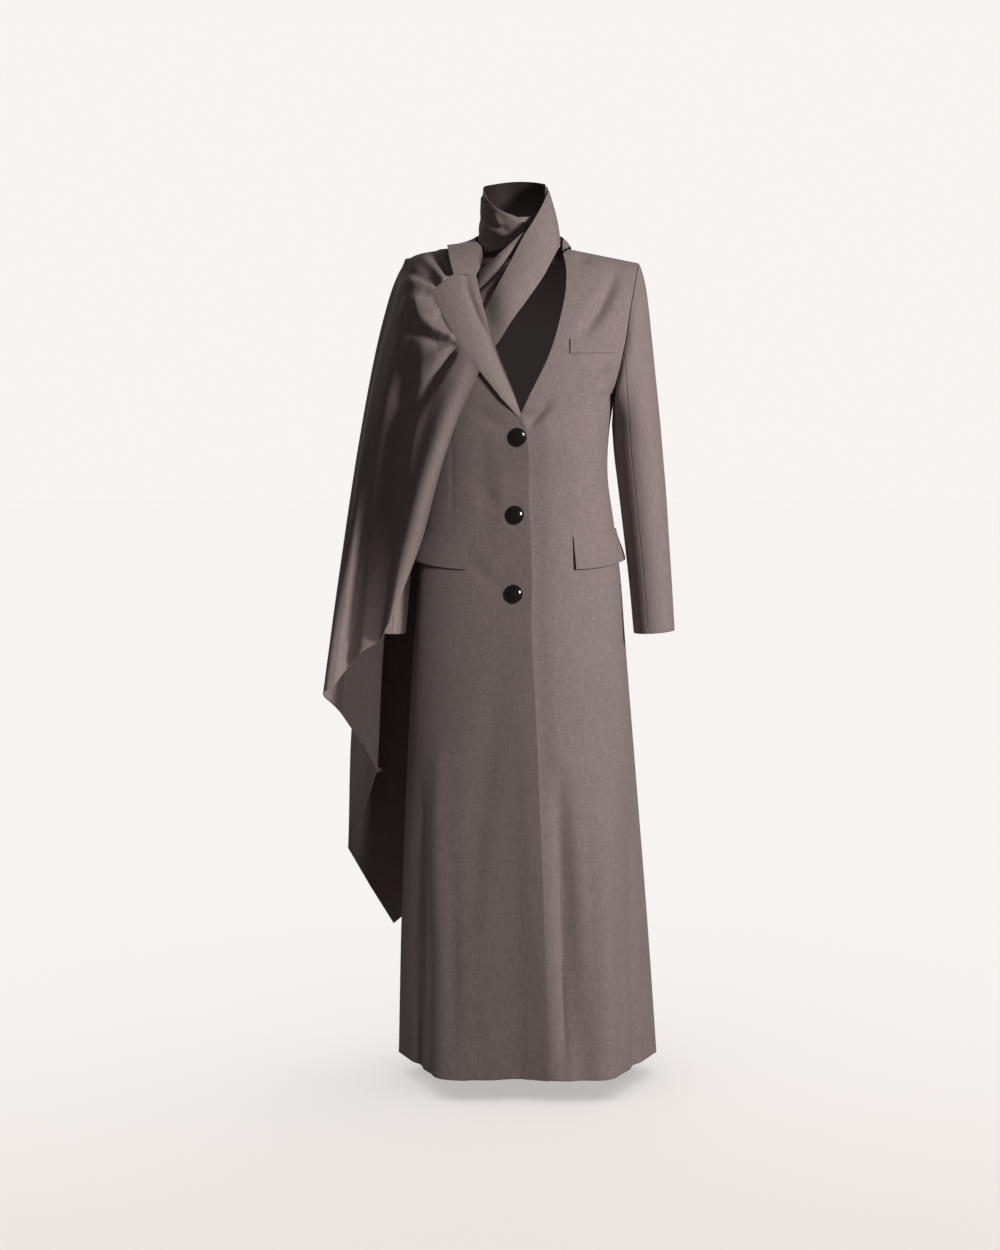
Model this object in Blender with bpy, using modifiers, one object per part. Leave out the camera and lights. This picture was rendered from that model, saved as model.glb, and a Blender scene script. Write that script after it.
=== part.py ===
"""An ankle-length tailored coat with an attached stole, in metres, with +Z up.

The coat keeps the hollow form that it has when worn: it faces -Y, the wearer's left is +X, and the origin lies on the
body's axis, level with the points where the shoulder seams meet the neck. Every cloth piece is a wall of even
thickness. The panels and sleeves share one surface, whose normals give them their inner sides, so that they stay
parallel at the seams. The pieces that lie on them are open sheets with a Solidify modifier.
"""

import math

import bmesh
import bpy
import numpy as np
from mathutils import Vector
from mathutils.bvhtree import BVHTree

# Cloth and gaps
WALL = 0.002  # thickness of the lined suiting
SEAM = 0.0003  # gap between pieces that are sewn together
LAYER = 0.0006  # gap between a panel and what lies on it
LINING_WALL = 0.001
LINING_FOOT = -0.30  # lowest row of the lining, from the underarm
LINING_TOP = 0.97  # and its highest, as a share of the rise

# Main sizes of the coat
ARM_Z = -0.245  # height of the underarm points
HEM_Z = -1.337
SKIRT_TOP = -0.40  # where the skirt's long rows start, measured from the underarm
SHOULDER_RISE = 0.240  # the part of a panel's height coordinate above the underarm
NECK_HALF = 0.076  # from the body's axis to where a shoulder seam meets the neck
NECK_Z = -0.005
SHOULDER_SLOPE = 0.20
RIGHT_SHIFT = 0.008  # how much further out the wearer's right side lies, up to the shoulder, where they match

# Sections of the body below the underarm. left and right are half widths, front and back are depths from the axis,
# power is the roundness of the curve (2 is an ellipse), and box is how far the skirt stands in flat faces.
BODY = np.array(
    # z, left, right, front, back, power, box
    [
        (-0.245, 0.150, 0.158, 0.116, 0.096, 2.3, 0.00),
        (-0.310, 0.1415, 0.150, 0.113, 0.089, 2.3, 0.00),
        (-0.370, 0.1400, 0.149, 0.104, 0.083, 2.3, 0.00),
        (-0.450, 0.1505, 0.160, 0.108, 0.094, 2.3, 0.00),
        (-0.530, 0.161, 0.170, 0.117, 0.108, 2.4, 0.08),
        (-0.640, 0.170, 0.178, 0.128, 0.118, 2.6, 0.25),
        (-0.890, 0.191, 0.192, 0.150, 0.136, 3.4, 0.60),
        (-1.120, 0.210, 0.201, 0.169, 0.152, 5.0, 0.90),
        (HEM_Z, 0.226, 0.206, 0.186, 0.166, 7.0, 1.00),
    ]
)
BOX_CORNER = 0.62  # where the flat front ends, as a share of the half width

# The yoke above the underarm. rise runs from the underarm (0) to the shoulder seam (1), reach is the half width of
# the full curve, and armhole is where the armhole cuts it. The wearer's right side adds RIGHT_SHIFT.
YOKE = np.array(
    # rise, reach, armhole, front, back
    [
        (0.00, 0.150, 0.1500, 0.116, 0.096),
        (0.06, 0.161, 0.1500, 0.116, 0.098),
        (0.20, 0.179, 0.1560, 0.115, 0.102),
        (0.42, 0.196, 0.1660, 0.111, 0.105),
        (0.63, 0.206, 0.1730, 0.106, 0.105),
        (0.80, 0.211, 0.1800, 0.102, 0.104),
        (1.00, 0.215, 0.1890, 0.100, 0.102),
    ]
)
FRONT_ROUND = 2.0  # how the yoke turns over to the shoulder seam
BACK_ROUND = 3.0
BACK_NECK_DROP = 0.13  # how much lower the back neckline is cut, as a share of the rise

# Inner edges of the two fronts, from the neck down, as (x, z) seen from the front
LEFT_EDGE = np.array(
    [(0.0755, -0.005), (0.0660, -0.0130), (0.0675, -0.0240), (0.0695, -0.037), (0.0695, -0.064), (0.0610, -0.113)]
    + [(0.0380, -0.187)]
    + [(-0.004, -0.274), (-0.030, -0.330), (-0.034, -0.400), (-0.034, HEM_Z)]
)
RIGHT_EDGE = np.array(
    [(-0.086, -0.005), (-0.080, -0.028), (-0.0755, -0.050), (-0.072, -0.080), (-0.061, -0.111), (-0.043, -0.168)]
    + [(-0.003, -0.272), (0.006, -0.300), (0.009, -0.335), (0.010, -0.410), (0.014, -0.500), (0.0145, -0.560)]
    + [(0.014, -0.610), (0.020, -0.729), (0.033, -1.050), (0.042, HEM_Z)]
)
UNDERLAP_TUCK = WALL + 0.0018  # how far the left front steps in under the right one
UNDERLAP_REACH = 0.003  # it stays stepped in this far beyond the right front's edge
UNDERLAP_RAMP = 0.034
UNDERLAP_Z = -0.262  # the step starts here, under the V
UNDERLAP_FADE = 0.012

# Long soft folds of the skirt, each from top to hem. place is where it runs at the hem, as an angle from the middle
# of the front (positive to the wearer's left), lean is how far it wanders, width its half width, depth at the hem.
FRONT_FOLDS = np.array(
    # place, lean, width, depth, top
    [
        (-3.0, -4.0, 26.0, -0.026, -0.62),
        (24.0, -2.0, 7.0, -0.010, -0.80),
        (36.0, 3.0, 9.0, 0.006, -0.75),
        (61.0, 4.0, 8.0, -0.006, -0.85),
        (-22.0, -6.0, 10.0, -0.008, -0.66),
        (-38.0, -5.0, 9.0, 0.007, -0.70),
        (-62.0, 3.0, 9.0, -0.006, -0.85),
    ]
)
BACK_FOLDS = np.array(
    [
        (0.0, 2.0, 15.0, -0.016, -0.55),
        (27.0, 4.0, 10.0, -0.010, -0.70),
        (-25.0, -5.0, 11.0, -0.011, -0.66),
        (47.0, 2.0, 9.0, 0.008, -0.75),
        (-48.0, -3.0, 10.0, 0.007, -0.72),
    ]
)

# Sleeve sections from just under the armhole to the cuff, for the wearer's left arm
SLEEVE = np.array(
    # z, inner x, outer x, middle y, half depth
    [
        (-0.290, 0.1470, 0.2265, 0.000, 0.062),
        (-0.330, 0.1500, 0.2300, 0.000, 0.058),
        (-0.400, 0.1585, 0.2360, -0.003, 0.053),
        (-0.470, 0.1670, 0.2405, -0.008, 0.050),
        (-0.540, 0.1750, 0.2450, -0.014, 0.047),
        (-0.627, 0.1830, 0.2500, -0.024, 0.044),
    ]
)
CUFF_SLANT = 0.005  # the cuff's outer side ends this much higher
CAP_CORNER = {1: 0.009, -1: 0.004}  # how far a sleeve head stands out from the shoulder seam
CAP_END = 0.3  # limits how much thicker a sleeve's wall gets where it ends flat against the armhole
FRONT_SEAM = 112.0  # angles of the sleeve seams round the arm, from its outer side
BACK_SEAM = 250.0
SEAM_ANGLE = 0.42  # half the gap of a sleeve seam

# Lapel, as (x, z) seen from the front: the roll line is the right front's own edge
LAPEL_OUTER = np.array([(-0.006, -0.279), (-0.036, -0.243), (-0.068, -0.203), (-0.101, -0.157), (-0.1415, -0.0855)])
LAPEL_ROLL = np.array([(-0.003, -0.274), (-0.020, -0.229), (-0.043, -0.168), (-0.061, -0.111), (-0.0745, -0.053)])
LAPEL_NOTCH = (-0.111, -0.0565)
LAPEL_OPEN = 0.24  # share of the roll line over which the lapel opens up from the V's foot
LAPEL_LIFT = 0.016  # how far its outer edge stands off the front

# Collar stations from the lapel's notch round the back of the neck, as inner and outer edges
COLLAR = np.array(
    # inner x, y, z, outer x, y, z
    [
        (-0.0745, -0.0620, -0.048, -0.111, -0.066, -0.0463),
        (-0.065, -0.047, -0.028, -0.1175, -0.047, -0.0235),
        (-0.066, -0.026, -0.006, -0.121, -0.017, -0.0015),
        (-0.076, 0.004, 0.010, -0.120, 0.018, -0.002),
        (-0.069, 0.041, 0.020, -0.099, 0.063, -0.014),
        (-0.038, 0.067, 0.025, -0.056, 0.088, -0.027),
        (-0.006, 0.0755, 0.026, -0.006, 0.090, -0.032),
        (0.028, 0.069, 0.025, 0.042, 0.084, -0.030),
        (0.056, 0.047, 0.021, 0.074, 0.064, -0.021),
        (0.0665, 0.014, 0.014, 0.080, 0.024, -0.003),
        (0.0655, -0.012, 0.008, 0.0755, -0.006, -0.001),
        (0.0645, -0.032, -0.0105, 0.0740, -0.025, -0.0055),
    ]
)
COLLAR_ARCH = 0.0015  # rise of the collar's leaf between its edges
COLLAR_BLEND = 2.0  # the leaf leaves the lapel's gorge line over this many stations

# Pocket flaps and welt
FLAP_TOP = -0.468
FLAP_DEPTH = 0.053
FLAP_STAND = 0.009  # how far its lower edge stands off
FLAP_FRONT = 0.35  # share of that at its front end
FLAP_SLOPE = 0.010  # rise of the flap towards the side seam
FLAP_START = 30.5  # front end of the flap, as an angle from the middle of the front
FLAP_END = 84.0
WELT_X = (0.075, 0.147)
WELT_Z = (-0.154, -0.177)
WELT_SLOPE = 0.002

# Buttons
BUTTON_RADIUS = 0.0150
BUTTON_DOME = 0.0062
BUTTON_RIM = 0.0022
BUTTON_SHANK = 0.0028
BUTTON_SEARCH = 0.02  # how far out the search for the panel's skin starts
BUTTON_PLACES = {"button_1": (-0.009, -0.309), "button_2": (-0.013, -0.4335), "button_3": (-0.015, -0.559)}

# Stole round the neck: rings given by side (angle from the wearer's left, over the back), radii and edges
RING_CENTRE = (-0.008, 0.008)
RING = np.array(
    # angle, radius at the foot, radius at the top, foot z, top z of the inner turn, top z of the outer turn
    [
        (-90.0, 0.0590, 0.0500, -0.004, 0.043, 0.031),
        (-60.0, 0.0600, 0.0500, 0.000, 0.046, 0.031),
        (-30.0, 0.0600, 0.0480, 0.003, 0.064, 0.055),
        (0.0, 0.0600, 0.0465, 0.002, 0.093, 0.090),
        (45.0, 0.0580, 0.0530, -0.008, 0.106, 0.098),
        (90.0, 0.0560, 0.0560, -0.012, 0.110, 0.099),
        (135.0, 0.0585, 0.0570, -0.008, 0.104, 0.093),
        (180.0, 0.0610, 0.0560, 0.000, 0.092, 0.077),
        (210.0, 0.0600, 0.0540, -0.008, 0.071, 0.066),
        (240.0, 0.0590, 0.0520, -0.010, 0.054, 0.051),
        (270.0, 0.0590, 0.0500, -0.004, 0.043, 0.035),
    ]
)
TURN_STEP = 360.0 / 28.0  # the facets of both turns run side by side
OUTER_TURN = (1, 22)  # it starts at the band on the wearer's left and ends behind it in front, in steps
TURN_SPACE = 0.0029
OUTER_FOOT = {225.0: -0.012, 250.0: -0.006, 270.0: 0.010, 283.0: 0.018}

# Ribbons of the stole over the throat: upper and lower edge at each station, and how far the middle bows out
BAND = np.array(
    # upper x, y, z, lower x, y, z, bow
    [
        (0.0432, 0.020, 0.092, 0.0622, 0.018, 0.000, 0.003),
        (0.041, 0.002, 0.087, 0.062, -0.004, -0.001, 0.004),
        (0.031, -0.034, 0.062, 0.057, -0.034, -0.007, 0.006),
        (0.016, -0.058, 0.034, 0.046, -0.058, -0.028, 0.007),
        (0.000, -0.072, 0.008, 0.031, -0.074, -0.056, 0.006),
        (-0.020, -0.083, -0.031, 0.007, -0.089, -0.091, 0.005),
        (-0.041, -0.089, -0.070, -0.017, -0.099, -0.124, 0.004),
        (-0.060, -0.0810, -0.105, -0.038, -0.0980, -0.157, 0.001),
        (-0.072, -0.0815, -0.120, -0.055, -0.0970, -0.178, 0.000),
    ]
)
FOLD_1 = np.array(
    [
        (0.008, -0.062, 0.023, 0.012, -0.061, 0.017, 0.001),
        (-0.014, -0.067, 0.004, -0.010, -0.066, -0.010, 0.003),
        (-0.036, -0.070, -0.016, -0.032, -0.071, -0.036, 0.004),
        (-0.057, -0.062, -0.034, -0.054, -0.067, -0.059, 0.002),
        (-0.0785, -0.0470, -0.052, -0.0785, -0.0610, -0.080, 0.000),
    ]
)
FOLD_2 = np.array(
    [
        (-0.026, -0.073, -0.040, -0.024, -0.073, -0.046, 0.000),
        (-0.044, -0.076, -0.058, -0.042, -0.077, -0.070, 0.002),
        (-0.060, -0.0720, -0.072, -0.058, -0.0755, -0.090, 0.001),
        (-0.0745, -0.0655, -0.083, -0.0730, -0.0750, -0.104, 0.000),
    ]
)

# The cape: fold lines from the front edge round the arm to the back edge, each with a point at every level of its
# fall. Neighbouring lines that turn back on each other are the pleats of the cascade.
CAPE = {
    # line: gather, near the lapel, shoulder, upper arm, elbow, wrist, hem, each as x, y, z
    "front_edge": [(-0.050, -0.1120, -0.178), (-0.068, -0.1145, -0.204), (-0.086, -0.118, -0.242)]
    + [(-0.108, -0.115, -0.292), (-0.134, -0.110, -0.372), (-0.160, -0.104, -0.470), (-0.193, -0.096, -0.558)],
    "front_strip": [(-0.070, -0.1030, -0.155), (-0.088, -0.1090, -0.176), (-0.112, -0.118, -0.225)]
    + [(-0.135, -0.119, -0.290), (-0.165, -0.112, -0.385), (-0.195, -0.104, -0.500), (-0.224, -0.094, -0.622)],
    "face": [(-0.094, -0.0920, -0.124), (-0.113, -0.0960, -0.138), (-0.144, -0.106, -0.176)]
    + [(-0.170, -0.106, -0.252), (-0.204, -0.098, -0.370), (-0.234, -0.082, -0.510), (-0.260, -0.073, -0.656)],
    "arm_front": [(-0.116, -0.0740, -0.090), (-0.136, -0.0780, -0.098), (-0.174, -0.086, -0.122)]
    + [(-0.206, -0.084, -0.215), (-0.238, -0.072, -0.350), (-0.260, -0.062, -0.520), (-0.287, -0.057, -0.688)],
    "outer_front": [(-0.104, -0.0500, -0.040), (-0.140, -0.0490, -0.044), (-0.184, -0.048, -0.062)]
    + [(-0.224, -0.040, -0.170), (-0.259, -0.046, -0.330), (-0.281, -0.077, -0.530), (-0.308, -0.073, -0.714)],
    "outer_fold": [(-0.102, -0.016, -0.006), (-0.140, -0.014, -0.010), (-0.193, -0.006, -0.031)]
    + [(-0.230, 0.000, -0.130), (-0.266, -0.006, -0.310), (-0.2985, -0.060, -0.540), (-0.3245, -0.058, -0.728)],
    "outer_back": [(-0.100, 0.014, -0.006), (-0.136, 0.020, -0.011), (-0.186, 0.032, -0.036)]
    + [(-0.219, 0.040, -0.150), (-0.252, 0.044, -0.330), (-0.282, 0.046, -0.570), (-0.304, 0.048, -0.770)],
    "arm_back": [(-0.092, 0.040, -0.009), (-0.120, 0.054, -0.024), (-0.160, 0.064, -0.054)]
    + [(-0.192, 0.078, -0.190), (-0.218, 0.074, -0.380), (-0.244, 0.064, -0.620), (-0.264, 0.060, -0.832)],
    "inner_fold": [(-0.084, 0.054, -0.014), (-0.104, 0.070, -0.036), (-0.140, 0.084, -0.076)]
    + [(-0.176, 0.094, -0.230), (-0.206, 0.088, -0.420), (-0.234, 0.074, -0.660), (-0.2455, 0.070, -0.872)],
    "pleat": [(-0.074, 0.062, -0.017), (-0.094, 0.080, -0.042), (-0.128, 0.094, -0.086)]
    + [(-0.176, 0.108, -0.250), (-0.220, 0.102, -0.450), (-0.256, 0.092, -0.700), (-0.266, 0.086, -0.934)],
    "left_fold": [(-0.064, 0.068, -0.018), (-0.084, 0.086, -0.046), (-0.116, 0.102, -0.094)]
    + [(-0.172, 0.120, -0.270), (-0.230, 0.118, -0.480), (-0.284, 0.110, -0.750), (-0.296, 0.104, -1.010)],
    "corner_side": [(-0.052, 0.073, -0.019), (-0.068, 0.092, -0.050), (-0.094, 0.110, -0.104)]
    + [(-0.140, 0.132, -0.290), (-0.190, 0.134, -0.520), (-0.246, 0.130, -0.800), (-0.258, 0.126, -1.083)],
    "corner": [(-0.038, 0.0755, -0.020), (-0.050, 0.096, -0.053), (-0.072, 0.116, -0.114)]
    + [(-0.106, 0.138, -0.300), (-0.146, 0.146, -0.540), (-0.200, 0.150, -0.830), (-0.221, 0.150, -1.150)],
    "back_edge": [(-0.020, 0.078, -0.021), (-0.026, 0.099, -0.055), (-0.040, 0.120, -0.120)]
    + [(-0.052, 0.136, -0.300), (-0.072, 0.148, -0.520), (-0.094, 0.166, -0.780), (-0.112, 0.180, -1.064)],
}
CAPE_COLUMNS = [4, 6, 7, 7, 7, 5, 2, 2, 3, 2, 3, 2, 2]  # columns of the sheet between neighbouring lines
CAPE_ROWS = 11, 10  # rows above and below the middle of the fall
CAPE_MIDDLE = 0.40
STRAIGHT_LINE = 5.5  # past this line the hem's zigzag has straight sides
STRAIGHT_FALL = 0.60, 0.30  # they begin here along the fall, and are straight after this much more of it
GATHER_CLEAR = 0.0012  # least gap under the cape where it is gathered
SHOULDER_CLEAR = 0.0045  # over the shoulder
CAPE_CLEAR = 0.0070  # and over the arm
CLEAR_FROM = 0.24  # the gap starts to grow here along the fall
CLEAR_OVER = 0.16
ARM_TOP = -0.075  # the arm's axis, which the cape hangs over, from its top down
ARM_AXIS = -0.185
ARM_FROM = -0.14  # nearer the neck the cape hangs over the body instead
AXIS_REACH = 0.025  # how far the axis reaches forward and back

# Long folds of the fall: line is where a fold starts between the lines above, drift how far it wanders, start and reach
# how far down it begins and ends (0 to 1), height how far it stands up, or sinks if it is negative.
DRAG_FOLDS = np.array(
    # line, drift, start, reach, width, height
    [
        (0.80, 0.05, 0.16, 1.25, 0.75, 0.007),
        (3.10, -2.60, 0.30, 1.35, 0.80, -0.015),
        (4.55, 0.00, 0.30, 0.95, 0.50, -0.004),
    ]
)

# Folds over the shoulder, which fan out from under the lapel and the collar. Each has its path as (x, z) seen from the
# front, its half width where it starts and where it ends, and how far it stands up, or sinks if it is negative.
FAN_FOLDS = [
    ([(-0.111, -0.050), (-0.123, -0.029), (-0.138, -0.007)], 0.0058, 0.0083, 0.005),
    ([(-0.117, -0.052), (-0.132, -0.031), (-0.146, -0.010)], 0.0041, 0.0066, -0.004),
    ([(-0.122, -0.064), (-0.143, -0.041), (-0.165, -0.017)], 0.0066, 0.0099, 0.007),
    ([(-0.133, -0.070), (-0.159, -0.056), (-0.194, -0.040)], 0.0058, 0.0083, -0.005),
    ([(-0.137, -0.079), (-0.168, -0.068), (-0.203, -0.054)], 0.0083, 0.0149, 0.008),
    ([(-0.108, -0.148), (-0.137, -0.098), (-0.164, -0.082)], 0.0083, 0.0132, -0.007),
    ([(-0.132, -0.115), (-0.175, -0.091), (-0.203, -0.064)], 0.0083, 0.0132, 0.006),
    ([(-0.105, -0.156), (-0.142, -0.139), (-0.163, -0.118), (-0.191, -0.088)], 0.0066, 0.0149, 0.010),
    ([(-0.105, -0.161), (-0.135, -0.160), (-0.167, -0.144), (-0.202, -0.120)], 0.0058, 0.0149, -0.007),
    ([(-0.105, -0.165), (-0.137, -0.177), (-0.173, -0.174), (-0.208, -0.163)], 0.0083, 0.0215, 0.005),
    ([(-0.106, -0.171), (-0.139, -0.206), (-0.177, -0.228), (-0.222, -0.238)], 0.0066, 0.0181, -0.005),
    ([(-0.104, -0.161), (-0.117, -0.181), (-0.141, -0.216), (-0.179, -0.270), (-0.197, -0.301)], 0.0050, 0.0149, -0.008),
]
FAN_RISE = 0.12  # share of its path in which a fold reaches its full height
FAN_BACK = (0.0, 0.02)  # the folds end between these depths, behind the shoulder

CLOTH_COLOUR = (0.190, 0.148, 0.136)
LINING_COLOUR = (0.022, 0.016, 0.015)
BUTTON_COLOUR = (0.006, 0.005, 0.005)


def clear_scene():
    for obj in list(bpy.data.objects):
        bpy.data.objects.remove(obj, do_unlink=True)


def make_collection(name):
    collection = bpy.data.collections.new(name)
    bpy.context.scene.collection.children.link(collection)
    return collection


def make_material(name, colour, roughness):
    material = bpy.data.materials.new(name)
    material.use_nodes = True
    shader = material.node_tree.nodes["Principled BSDF"]
    shader.inputs["Base Color"].default_value = (*colour, 1.0)
    shader.inputs["Roughness"].default_value = roughness
    shader.inputs["Metallic"].default_value = 0.0
    return material


def smooth(table, index, at):
    """One column of a table at these places, along a smooth curve through its rows."""
    keys, values = table[:, 0], table[:, index]
    if keys[0] > keys[-1]:
        keys, values = keys[::-1], values[::-1]
    slopes = np.gradient(values, keys)
    at = np.clip(at, keys[0], keys[-1])
    row = np.clip(np.searchsorted(keys, at, side="right") - 1, 0, len(keys) - 2)
    span = keys[row + 1] - keys[row]
    s = (at - keys[row]) / span
    return (
        (2 * s**3 - 3 * s**2 + 1) * values[row]
        + (s**3 - 2 * s**2 + s) * span * slopes[row]
        + (3 * s**2 - 2 * s**3) * values[row + 1]
        + (s**3 - s**2) * span * slopes[row + 1]
    )


def ease(s):
    s = np.clip(s, 0.0, 1.0)
    return s * s * (3.0 - 2.0 * s)


def bump(distance):
    """1 at the middle, 0 past a distance of 1."""
    return np.where(np.abs(distance) < 1.0, np.cos(np.clip(distance, -1, 1) * math.pi / 2) ** 2, 0.0)


def curve_through(points, count):
    """Points along a smooth curve through the given ones, which keep even steps of its parameter."""
    points = np.asarray(points, float)
    knots = np.arange(len(points), dtype=float)
    table = np.column_stack([knots, points])
    at = np.linspace(0.0, knots[-1], count)
    return np.column_stack([smooth(table, i + 1, at) for i in range(points.shape[1])])


# The coat's own surface, as a function of an angle round the body and a height coordinate


def section(angle, height, face):
    """Half width, depth, curve power and box share at this place. height is negative below the underarm."""
    z = ARM_Z + np.minimum(height, 0.0)
    rise = np.clip(height / SHOULDER_RISE, 0.0, 1.0)
    left = angle >= 0
    below = np.where(left, smooth(BODY, 1, z), smooth(BODY, 2, z))
    above = smooth(YOKE, 1, rise) + np.where(left, 0.0, RIGHT_SHIFT * (1.0 - rise))
    half = np.where(height > 0, above, below)
    depth_column = 3 if face == 1 else 4
    depth = np.where(height > 0, smooth(YOKE, depth_column, rise), smooth(BODY, depth_column, z))
    return half, depth, smooth(BODY, 5, z), smooth(BODY, 6, z), rise


def curve_scale(angle, power, box):
    """Distance from the axis on a section with half width and depth of 1."""
    s, c = np.abs(np.sin(angle)), np.abs(np.cos(angle))
    slant = s + (1.0 - BOX_CORNER) * c
    total = (1.0 - box) * s**power + c**power + box * slant**power
    return total ** (-1.0 / power)


def skirt_folds(angle, height, face):
    degrees = np.degrees(angle)
    z = ARM_Z + height
    total = np.zeros(np.broadcast(angle, height).shape)
    for place, lean, width, depth, top in FRONT_FOLDS if face == 1 else BACK_FOLDS:
        fall = np.clip((top - z) / (top - HEM_Z), 0.0, 1.0)
        total = total + depth * ease(fall) * bump((degrees - place - lean * (1.0 - fall)) / width)
    return total


def top_z(x):
    """Height of the shoulder line over a point, carried on towards the neck."""
    return NECK_Z - SHOULDER_SLOPE * (np.abs(x) - NECK_HALF)


def body(angle, height, face):
    """Points of the coat's outer side. face is 1 in front and -1 behind."""
    angle, height = np.broadcast_arrays(np.asarray(angle, float), np.asarray(height, float))
    half, depth, power, box, rise = section(angle, height, face)
    scale = curve_scale(angle, power, box)
    turn = FRONT_ROUND if face == 1 else BACK_ROUND
    over = np.clip(1.0 - rise**turn, 0.0, 1.0) ** (1.0 / turn)
    out = 1.0 + skirt_folds(angle, height, face) / np.maximum(scale * np.maximum(half, depth), 0.05)
    x = half * scale * np.sin(angle) * out
    y = -face * depth * scale * np.cos(angle) * over * out
    z = np.where(height > 0, ARM_Z + (top_z(x) - ARM_Z) * rise, ARM_Z + height)
    return np.stack([x, y, z], axis=-1)


def body_normal(angle, height, face):
    step_angle, step_height = 1e-3, 1e-4
    height = np.minimum(height, SHOULDER_RISE * 0.985)
    across = body(angle + step_angle, height, face) - body(angle - step_angle, height, face)
    along = body(angle, height + step_height, face) - body(angle, height - step_height, face)
    normal = np.cross(across, along) * face
    at_seam = height >= SHOULDER_RISE * 0.98
    normal[..., 1] = np.where(at_seam, 0.0, normal[..., 1])
    return normal / np.linalg.norm(normal, axis=-1, keepdims=True)


def place_of(x, z, face=1):
    """Angle and height coordinate of the surface point that is seen at x, z."""
    x, z = np.broadcast_arrays(np.asarray(x, float), np.asarray(z, float))
    rise = (z - ARM_Z) / (top_z(x) - ARM_Z)
    height = np.where(z > ARM_Z, np.clip(rise, 0, 1) * SHOULDER_RISE, z - ARM_Z)
    low, high = np.full(x.shape, -math.pi / 2), np.full(x.shape, math.pi / 2)
    for _ in range(40):
        middle = (low + high) / 2
        beyond = body(middle, height, face)[..., 0] > x
        high, low = np.where(beyond, middle, high), np.where(beyond, low, middle)
    return (low + high) / 2, height


def on_body(x, z, out=0.0):
    """The front's surface point that is seen at x, z, moved out along its normal."""
    angle, height = place_of(x, z)
    return body(angle, height, 1) + body_normal(angle, height, 1) * np.asarray(out)[..., None]


def armhole_angle(height, side, face):
    """Angle where the armhole cuts the panel at this height. side is 1 on the wearer's left, -1 on the right."""
    rise = np.clip(np.asarray(height, float) / SHOULDER_RISE, 0.0, 1.0)
    half, _, power, box, _ = section(np.full(rise.shape, side * 1.0), height, face)
    reach = smooth(YOKE, 2, rise) + (RIGHT_SHIFT * (1.0 - rise) if side < 0 else 0.0)
    dense = np.linspace(0.0, math.pi / 2, 400)
    found = [
        np.interp(r, h * curve_scale(dense, p, b) * np.sin(dense), dense)
        for r, h, p, b in zip(np.ravel(reach), np.ravel(half), np.ravel(power), np.ravel(box))
    ]
    found = np.where(np.ravel(rise) > 0, found, math.pi / 2)
    return side * found.reshape(rise.shape)


# Mesh helpers


def turned_over(corners):
    """The same face seen from its other side, with its diagonal kept."""
    return corners[:1] + corners[:0:-1]


def sheet_object(name, points, material, collection, flip=False, closed=False, thickness=WALL):
    """A grid of points as an open sheet with a Solidify modifier, whose wall lies on its inner side."""
    rows, columns = points.shape[:2]
    mesh_data = bmesh.new()
    grid = [[mesh_data.verts.new(Vector(points[r, c])) for c in range(columns)] for r in range(rows)]
    for r in range(rows - 1):
        for c in range(columns if closed else columns - 1):
            after = (c + 1) % columns
            loop = [grid[r][c], grid[r][after], grid[r + 1][after], grid[r + 1][c]]
            mesh_data.faces.new(turned_over(loop) if flip else loop)
    mesh = bpy.data.meshes.new(name)
    mesh_data.to_mesh(mesh)
    mesh_data.free()
    mesh.materials.append(material)
    mesh.shade_smooth()
    obj = bpy.data.objects.new(name, mesh)
    collection.objects.link(obj)
    solidify = obj.modifiers.new("cloth", "SOLIDIFY")
    solidify.thickness = thickness
    solidify.offset = -1.0
    solidify.use_even_offset = True
    return obj


def wall_object(name, outer, normals, material, collection, flip=False, thickness=WALL):
    """A closed wall lofted between a grid and the same grid moved in along the shared surface's own normals."""
    rows, columns = outer.shape[:2]
    inner = outer - normals * thickness
    mesh_data = bmesh.new()
    skins = [
        [[mesh_data.verts.new(Vector(skin[r, c])) for c in range(columns)] for r in range(rows)]
        for skin in (outer, inner)
    ]

    def quad(corners, turned):
        mesh_data.faces.new(turned_over(corners) if turned != flip else corners)

    for r in range(rows - 1):
        for c in range(columns - 1):
            for skin, turned in zip(skins, (False, True)):
                quad([skin[r][c], skin[r][c + 1], skin[r + 1][c + 1], skin[r + 1][c]], turned)
    rim = [(0, c) for c in range(columns)] + [(r, columns - 1) for r in range(1, rows)]
    rim += [(rows - 1, c) for c in range(columns - 2, -1, -1)] + [(r, 0) for r in range(rows - 2, 0, -1)]
    for (r, c), (r2, c2) in zip(rim, rim[1:] + rim[:1]):
        quad([skins[0][r][c], skins[0][r2][c2], skins[1][r2][c2], skins[1][r][c]], True)
    mesh = bpy.data.meshes.new(name)
    mesh_data.to_mesh(mesh)
    mesh_data.free()
    mesh.materials.append(material)
    obj = bpy.data.objects.new(name, mesh)
    collection.objects.link(obj)
    return obj


def outside_tree(objects):
    """A search tree over the finished walls of these objects."""
    graph = bpy.context.evaluated_depsgraph_get()
    points, faces = [], []
    for obj in objects:
        mesh = obj.evaluated_get(graph).to_mesh()
        start = len(points)
        points += [obj.matrix_world @ v.co for v in mesh.vertices]
        faces += [[start + i for i in p.vertices] for p in mesh.polygons]
        obj.evaluated_get(graph).to_mesh_clear()
    return BVHTree.FromPolygons(points, faces)


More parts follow.
